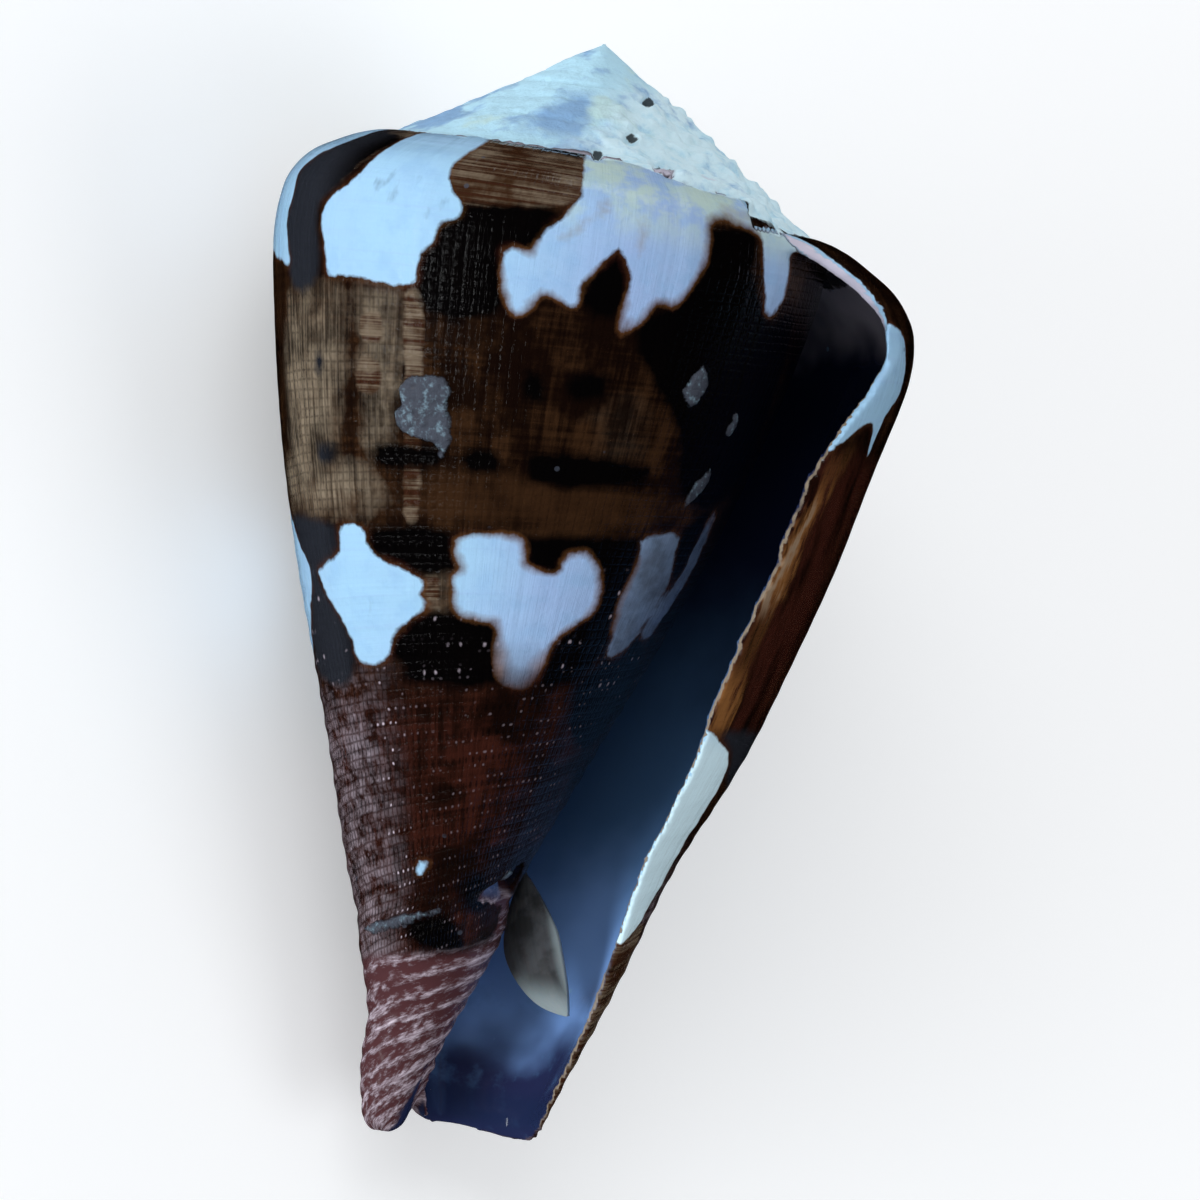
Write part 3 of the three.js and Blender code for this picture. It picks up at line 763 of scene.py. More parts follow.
def carve(shell):
    """Moves the skin's points out and in to give the surface its relief, then chips the lip."""
    co = coordinates(shell)
    at = Whereabouts(co, normals(shell))
    move = glaze_relief(at, co) + spire_relief(at, co)
    move += at.foot * (0.055 * at.ridge * lerp(0.4, 1, noise(co, 1.5, 23)) + 0.06 * rough(co, 1.1, 21, 3))
    crust = at.cover(outlines_of(CRUSTS)) + 0.12 * rough(co, 0.9, 31, 2)
    move += smoothstep(crust, -0.02, 0.14) * (0.13 + 0.05 * rough(co, 0.7, 33, 2))
    co += normals(shell) * move[:, None]
    chip_lip(at, co)
    set_coordinates(shell, co)


def record_whereabouts(shell):
    """Writes what the colours need to know at each point of the finished skin."""
    co = coordinates(shell)
    at = Whereabouts(co, normals(shell))
    for name in ("behind", "height", "depth", "mouth", "foot", "climb", "around"):
        set_attribute(shell, name, getattr(at, name))
    set_attribute(shell, "from lip", np.where(at.core | at.on_spire, 99, at.from_lip))
    set_attribute(shell, "crumbs", crumbs_over(at, co))
    set_attribute(shell, "spire", np.clip(at.spire, -FAR, 9))
    lip = (1 - smoothstep(at.from_lip, 0.6, 3.0)) * (at.behind < 60) * (at.behind > -9) * (1 - at.foot)
    set_attribute(shell, "lip", lip)
    pits = np.zeros(len(co))
    for (x, z), size, deep in SPIRE_PITS:
        distance = np.hypot(co[:, 0] - x, co[:, 2] - z)
        pits = np.maximum(pits, (1 - smoothstep(distance, 0.3 * size, size)) * (co[:, 1] < 0))
    set_attribute(shell, "pits", pits)
    for name, kind in KINDS.items():
        set_attribute(shell, name, at.cover(outlines_of(kind)))


class CONESHELL_OT_shell(bpy.types.Operator):
    """Grows the shell, joins its parts in one skin, carves its surface and colours it"""

    bl_idname = "coneshell.shell"
    bl_label = "Shell"

    def execute(self, context):
        wall = grow_sheet("wall", wall_section, follow_lip, 300)
        core = grow_sheet("core", core_section, lambda turn, radius, height: 0 * turn, 300)
        pillar = grow_pillar()
        make_active(wall)
        core.select_set(True)
        pillar.select_set(True)
        bpy.ops.object.join()
        shell = context.active_object
        shell.name = "shell_visual"
        modify(shell, "REMESH", mode="VOXEL", voxel_size=sizes().voxel / MM, adaptivity=0)
        if len(shell.data.polygons) < 50000:
            raise RuntimeError("the shell's skin could not be made")

        at = Whereabouts(coordinates(shell), normals(shell))
        x, y, z = coordinates(shell).T
        to_pillar = np.hypot(x - pillar_centre(z), y) - pillar_radius(z)
        join = np.exp(-((to_pillar / 0.7) ** 2)) * smoothstep(z, 2, 5) * (1 - smoothstep(z, 15, 17))
        corner = (z < 2.5) * 0.5
        lip_top = np.exp(-(((at.height - 47.5) / 1.5) ** 2)) * (np.abs(at.from_lip) < 14)
        relax(shell, np.ones(len(z)), 3)
        relax(shell, np.maximum(np.maximum(join, corner), lip_top), 14)
        carve(shell)
        modify(shell, "TRIANGULATE")
        share = sizes().triangles / len(shell.data.polygons)
        if share < 1:
            modify(shell, "DECIMATE", ratio=share)
        record_whereabouts(shell)

        co = to_ground(coordinates(shell))
        co[:, 2] = np.maximum(co[:, 2], 0)
        set_coordinates(shell, co)
        shell.data.polygons.foreach_set("use_smooth", np.ones(len(shell.data.polygons), bool))
        shell.data.materials.clear()
        shell.data.materials.append(shell_material())
        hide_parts("shell")
        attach(shell, BODY)
        return {"FINISHED"}


class CONESHELL_OT_operculum(bpy.types.Operator):
    """Lays a grid on the operculum's outline, bends it a little and thickens it"""

    bl_idname = "coneshell.operculum"
    bl_label = "Operculum"

    def execute(self, context):
        across, along = 24, 60
        deselect_all()
        bpy.ops.mesh.primitive_grid_add(x_subdivisions=across, y_subdivisions=along, size=2)
        leaf = context.active_object
        leaf.name = "operculum_visual"
        co = coordinates(leaf)
        u = (co[:, 0] + 1) / 2
        v = (co[:, 1] + 1) / 2
        free = edge_points(LEAF_FREE_EDGE, v)
        held = edge_points(LEAF_HELD_EDGE, v)
        flat = lerp(held, free, u[:, None])
        width = np.hypot(*(free - held).T)
        bulge = 0.10 * width * (1 - (2 * u - 1) ** 2) - 0.25 * (v - 0.5) ** 2
        lines = 0.008 * np.sin(u * 46) * np.minimum(width, 1)
        a = math.radians(LEAF_TURN)
        x = LEAF_AT[0] + flat[:, 0] * math.cos(a) + (bulge + lines) * math.sin(a)
        y = LEAF_AT[1] + flat[:, 0] * math.sin(a) - (bulge + lines) * math.cos(a)
        set_coordinates(leaf, to_ground(np.stack([x, y, flat[:, 1]], 1)))
        bpy.ops.object.mode_set(mode="EDIT")
        bpy.ops.mesh.select_all(action="SELECT")
        bpy.ops.mesh.remove_doubles(threshold=0.00002)
        bpy.ops.object.mode_set(mode="OBJECT")
        modify(leaf, "SOLIDIFY", thickness=sizes().leaf * 0.8, offset=0)
        modify(leaf, "SUBSURF", levels=1)
        set_attribute(leaf, "along", share_along(leaf, turned()[:, 2]))
        side = turned() @ (math.cos(a), math.sin(a), 0.45)
        set_attribute(leaf, "across", share_along(leaf, side))
        bpy.ops.object.shade_smooth()
        leaf.data.materials.append(operculum_material())
        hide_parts("operculum")
        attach(leaf, BODY)
        return {"FINISHED"}


def edge_points(edge, share):
    """Points at shares of the way along an edge."""
    edge = np.array(edge, float)
    steps = np.hypot(*np.diff(edge, axis=0).T)
    way = np.concatenate([[0], np.cumsum(steps)]) / steps.sum()
    across = smooth_curve(np.stack([way, edge[:, 0]], 1))
    up = smooth_curve(np.stack([way, edge[:, 1]], 1))
    return np.stack([across(share), up(share)], 1)


def share_along(obj, direction):
    """Share of the way across the object in a direction, at each point."""
    way = coordinates(obj) @ np.array(direction)
    return (way - way.min()) / (way.max() - way.min())


# ---------------------------------------------------------------- shading


class Graph:
    """Adds nodes to a tree; their inputs are sockets, numbers or colours."""

    def __init__(self, tree):
        self.tree = tree

    def node(self, kind, **settings):
        node = self.tree.nodes.new(kind)
        count = len(self.tree.nodes)
        node.location = (count // 8 * 220, -(count % 8) * 200)
        for key, value in settings.items():
            setattr(node, key, value)
        return node

    def put(self, socket, value):
        if isinstance(value, bpy.types.NodeSocket):
            self.tree.links.new(value, socket)
        elif socket.type == "RGBA":
            socket.default_value = (*value, 1)
        else:
            socket.default_value = value

    def math(self, operation, *values, clamp=False):
        node = self.node("ShaderNodeMath", operation=operation, use_clamp=clamp)
        for socket, value in zip(node.inputs, values):
            self.put(socket, value)
        return node.outputs[0]

    def add(self, first, *others):
        for other in others:
            first = self.math("ADD", first, other)
        return first

    def times(self, first, *others):
        for other in others:
            first = self.math("MULTIPLY", first, other)
        return first

    def most(self, a, b):
        return self.math("MAXIMUM", a, b)

    def invert(self, value):
        return self.math("SUBTRACT", 1, value, clamp=True)

    def rise(self, value, low, high, start=0.0, end=1.0):
        """A smooth step from start to end while the value goes from low to high."""
        node = self.node("ShaderNodeMapRange", interpolation_type="SMOOTHSTEP")
        for name, number in (("From Min", low), ("From Max", high), ("To Min", start), ("To Max", end)):
            self.put(node.inputs[name], number)
        self.put(node.inputs["Value"], value)
        return node.outputs["Result"]

    def between(self, value, low, high, soft):
        """One between low and high, falling softly to nothing outside them."""
        above = self.rise(value, low - soft, low + soft)
        return self.times(above, self.rise(value, high - soft, high + soft, 1, 0))

    def mix(self, share, a, b, blend="MIX"):
        node = self.node("ShaderNodeMix", data_type="RGBA", blend_type=blend)
        self.put(node.inputs[0], share)
        self.put(node.inputs[6], a)
        self.put(node.inputs[7], b)
        return node.outputs[2]

    def vector(self, x, y, z=0.0):
        node = self.node("ShaderNodeCombineXYZ")
        for socket, value in zip(node.inputs, (x, y, z)):
            self.put(socket, value)
        return node.outputs[0]

    def noise(self, position, scale, detail=3.0, roughness=0.5):
        node = self.node("ShaderNodeTexNoise")
        self.put(node.inputs["Vector"], position)
        self.put(node.inputs["Scale"], scale)
        self.put(node.inputs["Detail"], detail)
        self.put(node.inputs["Roughness"], roughness)
        return node.outputs[0]

    def cells(self, position, scale, feature="F1"):
        node = self.node("ShaderNodeTexVoronoi", feature=feature)
        self.put(node.inputs["Vector"], position)
        self.put(node.inputs["Scale"], scale)
        return node.outputs["Distance"]

    def attribute(self, name):
        return self.node("ShaderNodeAttribute", attribute_name=name).outputs["Fac"]

    def millimetres(self):
        """The object's own coordinates, in millimetres."""
        coordinates = self.node("ShaderNodeTexCoord").outputs["Object"]
        node = self.node("ShaderNodeVectorMath", operation="SCALE")
        self.put(node.inputs[0], coordinates)
        self.put(node.inputs["Scale"], 1 / MM)
        return node.outputs[0]

    def group(self, make, **values):
        """Uses a shared node group, making it the first time; names of inputs have _ for spaces."""
        node = self.node("ShaderNodeGroup")
        node.node_tree = bpy.data.node_groups.get(make.__name__.replace("_", " ")) or make()
        for name, value in values.items():
            self.put(node.inputs[name.replace("_", " ")], value)
        return node.outputs[0]


def start_group(name, inputs, output="Mask"):
    """A new node group with named inputs (name, kind, default) and one value out."""
    tree = bpy.data.node_groups.new(name, "ShaderNodeTree")
    for label, kind, default in inputs:
        socket = tree.interface.new_socket(label, in_out="INPUT", socket_type=kind)
        if default is not None:
            socket.default_value = default
    tree.interface.new_socket(output, in_out="OUTPUT", socket_type="NodeSocketFloat")
    graph = Graph(tree)
    entry = graph.node("NodeGroupInput")
    exit_node = graph.node("NodeGroupOutput")
    return tree, graph, entry.outputs, exit_node.inputs[0]


def ragged_edge():
    """Turns a distance to an outline into a mask with a ragged edge."""
    tree, g, given, result = start_group("ragged edge", (
        ("Distance", "NodeSocketFloat", 0.0), ("Position", "NodeSocketVector", None),
        ("Width", "NodeSocketFloat", 0.5), ("Raggedness", "NodeSocketFloat", 0.2),
        ("Softness", "NodeSocketFloat", 0.1)))
    scale = g.math("DIVIDE", 1, given["Width"])
    wave = g.math("SUBTRACT", g.noise(given["Position"], scale, 4, 0.6), 0.5)
    distance = g.add(given["Distance"], g.times(wave, given["Raggedness"], 3))
    g.put(result, g.math("ADD", g.math("DIVIDE", distance, given["Softness"]), 0.5, clamp=True))
    return tree


def growth_streaks():
    """Streaks that run with the growth lines."""
    tree, g, given, result = start_group("growth streaks", (
        ("Behind", "NodeSocketFloat", 0.0), ("Depth", "NodeSocketFloat", 0.0),
        ("Degrees wide", "NodeSocketFloat", 1.0), ("Length", "NodeSocketFloat", 10.0)), "Value")
    across = g.math("DIVIDE", given["Behind"], given["Degrees wide"])
    along = g.math("DIVIDE", given["Depth"], given["Length"])
    g.put(result, g.noise(g.vector(across, along), 1, 3, 0.6))
    return tree


def cross_lines():
    """Thin lines along the growth and round the shell, like an open weave."""
    tree, g, given, result = start_group("cross lines", (
        ("Behind", "NodeSocketFloat", 0.0), ("Depth", "NodeSocketFloat", 0.0),
        ("Step", "NodeSocketFloat", 2.0), ("Pitch", "NodeSocketFloat", 0.6)))
    wobble = g.noise(g.vector(g.times(given["Behind"], 0.1), given["Depth"]), 0.6, 3)
    lines = []
    for way, size in (("Behind", "Step"), ("Depth", "Pitch")):
        phase = g.math("FRACT", g.add(g.math("DIVIDE", given[way], given[size]), g.times(wobble, 0.8)))
        lines.append(g.rise(g.math("ABSOLUTE", g.math("SUBTRACT", phase, 0.5)), 0.25, 0.5))
    g.put(result, g.most(*lines))
    return tree


def dot_rows():
    """Small dots in rows that run round the shell; row and step count whole numbers."""
    tree, g, given, result = start_group("dot rows", (
        ("Step", "NodeSocketFloat", 0.0), ("Row", "NodeSocketFloat", 0.0), ("Size", "NodeSocketFloat", 0.3),
        ("Softness", "NodeSocketFloat", 0.08)))
    jitter = g.noise(g.vector(given["Step"], given["Row"]), 0.9, 1)
    step = g.math("SUBTRACT", g.math("FRACT", g.add(given["Step"], g.times(jitter, 0.6))), 0.5)
    row = g.math("SUBTRACT", g.math("FRACT", given["Row"]), 0.5)
    distance = g.math("SQRT", g.add(g.times(step, step), g.times(row, row, 2.2)))
    soft = given["Softness"]
    g.put(result, g.rise(g.math("SUBTRACT", given["Size"], distance), g.times(soft, -1), soft))
    return tree


def crumbly_grain():
    """Uneven grain of chalk and crust."""
    tree, g, given, result = start_group("crumbly grain", (
        ("Position", "NodeSocketVector", None), ("Width", "NodeSocketFloat", 1.0)), "Value")
    scale = g.math("DIVIDE", 1, given["Width"])
    lumps = g.invert(g.cells(given["Position"], scale, "SMOOTH_F1"))
    dust = g.noise(given["Position"], g.times(scale, 2), 5, 0.65)
    g.put(result, g.add(g.times(lumps, 0.5), g.times(dust, 0.5)))
    return tree


def new_material(name):
    """A material and the sockets of its surface."""
    material = bpy.data.materials.new(name)
    material.use_nodes = True
    return material, material.node_tree.nodes["Principled BSDF"].inputs


class ShellPaint(Graph):
    """A graph that lays one coat of colour over another, with the sockets that its coats share."""

    def __init__(self, tree):
        super().__init__(tree)
        self.at = self.millimetres()
        self.behind = self.attribute("behind")
        self.height = self.attribute("height")
        self.depth = self.attribute("depth")
        self.mouth = self.attribute("mouth")
        self.foot = self.attribute("foot")
        self.low = self.rise(self.depth, 38, 45)
        self.fine = self.growth(1.1, 7.0)
        self.broad = self.growth(6.0, 5.0)
        self.hair = self.growth(0.4, 4.0)
        self.striae = self.along_and_down(self.behind, 0.015, self.depth, 3.2, 3, 0.5)
        self.blotch = self.noise(self.at, 0.45, 4, 0.6)
        self.lattice = self.group(cross_lines, Behind=self.behind, Depth=self.depth, Step=2.4, Pitch=0.55)
        self.grain = self.group(crumbly_grain, Position=self.at, Width=0.7)
        spots = self.rise(self.cells(self.at, 0.55), 0.085, 0.06)
        self.specks = self.times(spots, self.rise(self.noise(self.at, 0.35, 1), 0.55, 0.6))
        self.step = self.math("DIVIDE", self.behind, DOT_STEP)
        self.rows = self.math("DIVIDE", self.depth, CORD_PITCH)
        self.paint = None

    def coat(self, share, colour):
        self.paint = colour if self.paint is None else self.mix(share, self.paint, colour)

    def layers(self, colour, *coats):
        """A colour with tints laid over it, each given as (share, tint)."""
        for share, tint in coats:
            colour = self.mix(share, colour, tint)
        return colour

    def growth(self, degrees_wide, length):
        return self.group(
            growth_streaks, Behind=self.behind, Depth=self.depth, Degrees_wide=degrees_wide, Length=length)

    def along_and_down(self, along, along_scale, down, down_scale, detail=4.0, roughness=0.6):
        """Noise stretched along one socket and across another."""
        position = self.vector(self.times(along, along_scale), self.times(down, down_scale))
        return self.noise(position, 1, detail, roughness)

    def mark(self, name, width, raggedness, softness, grow=0.0):
        """The mask of one kind of marking, grown by some millimetres."""
        return self.group(
            ragged_edge, Distance=self.add(self.attribute(name), grow), Position=self.at, Width=width,
            Raggedness=raggedness, Softness=softness)


def paint_ground(g, c):
    """Dark brown with lighter growth streaks, tan on the left partly as painted light, redder low down, with
    painted shade towards the right side and a painted sheen low on the left.
    """
    streaks = g.add(g.times(g.broad, 0.5), g.times(g.fine, 0.35), g.times(g.striae, 0.25))
    light = g.add(streaks, g.times(g.blotch, 0.3))
    g.coat(1, g.mix(g.rise(light, 0.6, 0.86), c.dark_brown, c.brown))
    g.coat(g.low, g.mix(g.rise(light, 0.5, 0.85), c.dark_brown, c.red_brown))
    amber = g.times(g.between(g.depth, 29.6, 31.6, 0.5), g.rise(light, 0.45, 0.75, 0.2, 0.9))
    g.coat(g.times(amber, 0.75), c.brown)
    # The ground's own tan streaks, kept strong on the left side as painted light and faded out towards the
    # right side as painted shade.
    patchy = g.rise(g.add(g.times(g.fine, 0.45), g.times(g.blotch, 0.55)), 0.38, 0.62, 0.1, 0.8)
    g.coat(g.times(g.mark("tan", 1.6, 0.7, 1.4), patchy, g.rise(g.behind, 272, 300, 1, 0.06)), c.tan)
    woven = g.times(g.rise(g.blotch, 0.38, 0.6, 0.06, 0.4), g.rise(g.behind, 295, 260, 0.05, 1))
    g.coat(g.times(g.lattice, woven, g.rise(g.depth, 38, 45, 1, 0.5)), c.dark_brown)
    warm = g.times(g.rise(g.behind, 275, 290), g.rise(g.behind, 350, 335))
    warm = g.times(warm, g.between(g.height, 30.3, 33.0, 0.5))
    # Painted shade: patchy dark brown over the ground, growing towards the right side of the shell and
    # weaker in the warm band.
    shadow = g.rise(g.noise(g.at, 0.3, 4, 0.6), 0.42, 0.58)
    g.coat(g.times(shadow, g.rise(g.behind, 258, 296, 0.2, 0.97), g.rise(warm, 0, 1, 1, 0.3)), c.dark_brown)
    g.coat(g.times(warm, g.rise(g.blotch, 0.35, 0.65, 0.1, 0.7)), c.brown)
    # Painted shade: the low ground darkens towards the right side of the shell.
    g.coat(g.times(g.low, g.rise(g.behind, 312, 335, 0, 0.6)), c.dark_brown)
    # Painted sheen: pinkish pale patches low on the left side of the shell, strongest between the lines of
    # the weave.
    low_left_sheen = g.times(g.low, g.rise(g.behind, 276, 244), g.rise(g.noise(g.at, 1.1, 4, 0.65), 0.35, 0.68))
    g.coat(g.times(low_left_sheen, g.rise(g.lattice, 0, 1, 0.34, 0.12)), c.foot_crest)


def paint_panels(g, c):
    """Brown panels with lines round the shell."""
    lines = g.along_and_down(g.behind, 0.02, g.depth, 5)
    brown = g.mix(g.rise(lines, 0.25, 0.6, 0.3, 1), c.red_brown, c.brown)
    pale_lines = g.rise(g.add(lines, g.times(g.blotch, 0.9)), 0.8, 1.15)
    g.coat(g.mark("panel", 0.8, 0.15, 0.2), g.mix(g.times(pale_lines, 0.5), brown, c.tan))


def paint_lip_strip(g, c):
    """Beside the lip: amber streaks along the edge, then dark brown, then nearly black."""
    from_lip = g.attribute("from lip")
    beside = g.times(g.between(g.height, 22.0, 36.6, 1.0), g.rise(from_lip, 60, 40))
    streaky = g.along_and_down(g.behind, 0.2, g.height, 0.16, 4, 0.65)
    edge_brown = g.mix(g.rise(streaky, 0.32, 0.6), c.dark_brown, c.red_brown)
    g.coat(g.times(beside, g.rise(from_lip, 26, 14, 0.6, 1)), edge_brown)
    across = g.add(from_lip, g.times(streaky, 16), g.times(g.rise(g.height, 31, 35), -3))
    warmest = g.most(g.between(g.height, 29.0, 34.5, 1.2), g.between(g.height, 21.5, 25.0, 1.0))
    g.coat(g.times(beside, g.between(across, 8.6, 13.0, 1.6), g.add(0.2, g.times(warmest, 0.7))), c.amber)
    pale = g.times(g.between(across, 9.5, 11.5, 0.8), g.between(g.height, 28.5, 34.0, 0.8))
    g.coat(g.times(pale, beside, 0.7), c.tan)


def paint_blacks(g, c):
    """Black patches with a painted bluish sheen towards the left side, and pale dots in rows on them and on
    the low ground, with painted glints among the low dots.
    """
    black = g.mark("black", 0.9, 0.22, 0.5)
    # Painted sheen: the black patches take on the bluish crust colour towards the left side of the shell.
    left_sheen_on_blacks = g.mix(g.rise(g.behind, 258, 244, 0, 0.27), c.black, c.crust)
    g.coat(g.times(black, 0.99), left_sheen_on_blacks)
    dots = g.group(dot_rows, Step=g.step, Row=g.add(g.rows, 0.5), Size=0.12)
    belt_dots = g.times(dots, black, g.between(g.depth, 35, 43, 0.5), 0.5)
    dots = g.group(dot_rows, Step=g.times(g.step, 1.3), Row=g.times(g.rows, 2), Size=0.15)
    # Painted glints: the pale dots of the low ground are made far more frequent in a narrow column on the
    # left, where glints would fall.
    low_dots_and_glints = g.times(dots, g.low, g.add(0.16, g.times(g.between(g.behind, 258, 270, 4), 0.7)))
    patchy = g.rise(g.noise(g.at, 1.3, 3), 0.5, 0.62)
    g.coat(g.times(g.most(low_dots_and_glints, belt_dots), patchy), c.foot_crest)
    gaps = g.group(dot_rows, Step=g.times(g.step, 1.4), Row=g.rows, Size=0.2)
    g.coat(g.times(gaps, g.low, 0.5), c.black)


def paint_whites(g, c):
    """White patches with a narrow red-brown or amber fringe, painted shade on their right side and painted
    light on the lip's low white; gives back their mask.
    """
    fringe = g.mark("white", 0.9, 0.16, 0.5, 0.22)
    g.coat(g.times(fringe, g.rise(g.blotch, 0.38, 0.6), 0.7), c.red_brown)
    faded = g.rise(g.noise(g.at, 0.22, 2), 0.42, 0.6, 0.05, 0.4)
    faded = g.add(0.12, g.times(faded, g.rise(g.behind, 276, 292, 0.15, 1), g.rise(g.behind, 60, 70)))
    rim = g.mark("white", 0.9, 0.17, g.add(faded, 0.1), 0.14)
    g.coat(g.times(rim, g.rise(faded, 0.14, 0.42, 0.1, 0.6)), c.amber)
    lower_end = g.times(g.between(g.behind, 300, 322, 4), g.rise(g.height, 25.8, 23.2))
    white = g.mark("white", 0.9, 0.17, g.add(faded, g.times(lower_end, 1.2)), g.times(lower_end, -0.5))
    # Painted shade: the patches turn violet towards the right side of the shell, with random mottling mixed
    # in.
    shade = g.add(g.rise(g.behind, 280, 325, 0, 0.75), g.times(g.noise(g.at, 0.3, 3), 0.6), -0.25)
    stain = g.along_and_down(g.behind, 0.1, g.height, 0.25)
    worn = g.rise(g.blotch, 0.4, 0.6)
    # Patchy violet blue on the high white of the shoulder, from about the front round towards the lip.
    violet_mottle = g.rise(g.noise(g.at, 0.9, 5, 0.65), 0.5, 0.7)
    # Painted shade: the low white patches on the right side are dulled with the crust colour.
    right_side_shade = g.times(g.rise(g.behind, 334, 348), g.rise(g.height, 34, 31))
    colour = g.layers(
        c.white,
        (g.math("ADD", shade, 0, clamp=True), c.cool_white),
        (g.rise(g.striae, 0.5, 0.75, 0, 0.25), c.cool_white),
        (g.rise(g.noise(g.at, 0.7, 4, 0.6), 0.45, 0.7, 0, 0.35), c.chalk_blue),
        (g.rise(stain, 0.62, 0.75, 0, 0.5), c.crust),
        (g.times(g.rise(g.depth, 14, 10), g.rise(g.behind, 298, 308), worn, 0.7), c.chalk_yellow),
        (g.times(g.rise(g.behind, 296, 306), violet_mottle, g.rise(g.height, 38, 41), 0.3), c.chalk_blue),
        (g.times(lower_end, 0.5), c.crust),
        # Painted light: the white low on the lip is made paler.
        (g.times(g.rise(g.behind, 30, 24), g.rise(g.height, 24, 21)), c.chalk_pale),
        (g.times(right_side_shade, g.rise(g.blotch, 0.35, 0.65, 0.6, 0.9)), c.crust),
        (g.times(g.mark("streak", 0.5, 0.2, 0.35), 0.35), c.tan))
    g.coat(white, colour)
    return white


def paint_crusts(g, c):
    """Grey crusts and a few specks; gives back the mask of the crusts."""
    crust = g.mark("crust", 0.6, 0.2, 0.12)
    colour = g.mix(g.rise(g.noise(g.at, 2.4, 4, 0.7), 0.5, 0.7, 0, 0.3), c.crust, c.chalk)
    g.coat(g.times(crust, g.rise(g.grain, 0.25, 0.5, 0.55, 0.95)), colour)
    g.coat(g.times(g.specks, 0.6), c.crust)
    return crust


def paint_spire(g, c):
    """The worn, chalky spire; gives back its mask."""
    chalk = g.mark("spire", 1.6, 0.45, 0.25, 0.15)
    tints = g.noise(g.at, 0.28, 4, 0.6)
    across = g.add(g.behind, g.times(tints, 30))
    blue_spot = g.times(g.between(across, 299, 322, 4), g.between(g.height, 49.7, 52.2, 0.5))
    pitted = g.rise(g.add(g.attribute("pits"), g.times(g.noise(g.at, 1.8, 3), 0.9)), 0.75, 1.05)
    colour = g.layers(
        c.chalk,
        (g.rise(tints, 0.51, 0.64), c.chalk_blue),
        (g.rise(g.noise(g.at, 0.33, 3), 0.58, 0.7, 0, 0.45), c.chalk_yellow),
        (g.times(blue_spot, g.rise(g.blotch, 0.35, 0.6, 0.3, 1)), c.chalk_blue),
        (g.times(g.attribute("crumbs"), g.rise(g.grain, 0.3, 0.6)), c.chalk_pale),
        (g.rise(g.grain, 0.42, 0.25, 0, 0.6), c.chalk_blue),
        (g.times(pitted, 0.9), c.dark_brown))
    g.coat(chalk, colour)
    return chalk


def paint_foot(g, c):
    """The ridged foot; gives back the crests of its ridges."""
    climb, around = g.attribute("climb"), g.attribute("around")
    ridge = g.math("COSINE", g.times(climb, math.tau))
    flecks = g.along_and_down(around, 0.075, climb, 3.1, 5, 0.68)
    wrinkles = g.along_and_down(around, 0.04, climb, 9, 3)
    crest = g.rise(g.add(g.times(ridge, 0.08), flecks, g.times(g.noise(g.at, 0.3, 2), 0.5)), 0.66, 0.96)
    crest = g.times(crest, g.rise(wrinkles, 0.4, 0.58, 0.45, 1))
    g.coat(g.foot, g.mix(crest, c.foot_trough, c.foot_crest))
    return crest


def paint_mouth(g, c):
    """The mouth, with painted light and shade down its wall: a pale painted glow under the shoulder, purple
    black painted shade below it, steel blue, paler painted light above the canal and violet blue darkened as
    painted shade by the canal; and the lip's edge.
    """
    cloud = g.times(g.math("SUBTRACT", g.noise(g.at, 0.16, 3), 0.5), 8)
    level = g.add(g.height, cloud)
    dusty = g.times(g.rise(g.noise(g.at, 0.5, 4, 0.65), 0.48, 0.68, 0, 0.35), g.rise(g.height, 10, 5))
    # Painted shade along the very bottom of the mouth.
    shaded = g.between(g.add(g.height, g.times(cloud, 0.25)), 0.9, 2.9, 0.6)
    colour = g.layers(
        # Painted light and shade down the wall, from a pale painted glow at the top to painted shade by the
        # canal.
        c.mouth_top,
        (g.rise(level, 46, 41.5), c.mouth_dark),
        (g.rise(level, 32, 20), c.mouth_middle),
        (g.rise(level, 18, 9.5), c.mouth_low),
        (g.rise(level, 8.5, 4.5), c.mouth_base),
        (dusty, c.mouth_middle),
        (g.times(shaded, 0.85), c.mouth_dark),
        (g.times(g.specks, 0.7), c.chalk_blue))
    g.coat(g.mouth, colour)
    lip = g.times(g.attribute("lip"), g.rise(g.mouth, 0.02, 0.3), g.rise(g.mouth, 0.75, 0.98, 1, 0))
    pale = g.most(g.rise(g.attribute("white"), -0.5, 0.2), g.rise(g.height, 41, 43))
    g.coat(g.times(lip, 0.9), g.mix(pale, c.tan, c.white))


def shell_relief(g, white, crust, chalk, crest):
    """The fine relief, in millimetres."""
    plain = g.times(g.invert(g.most(g.mouth, chalk)), g.invert(g.foot))
    weave = g.times(g.lattice, g.rise(white, 0, 1, -0.02, 0))
    lines = g.add(g.times(g.hair, 0.02), g.times(g.fine, 0.03), g.times(g.striae, 0.03), weave)
    granules = g.group(dot_rows, Step=g.times(g.step, 1.4), Row=g.times(g.rows, 2), Size=0.2, Softness=0.3)
    height = g.times(g.rise(white, 0, 1, 0.13, 0.004), g.between(g.behind, 258, 284, 8))
    height = g.times(height, g.rise(g.depth, 16, 28))
    grit = g.times(g.noise(g.at, 3.0, 3, 0.6), g.rise(white, 0, 1, 0.03, 0.01))
    on_glaze = g.add(lines, g.times(granules, g.add(0.01, height)), grit)
    return g.add(
        g.times(plain, on_glaze), g.times(g.most(chalk, crust), g.grain, 0.22), g.times(g.foot, crest, 0.05))


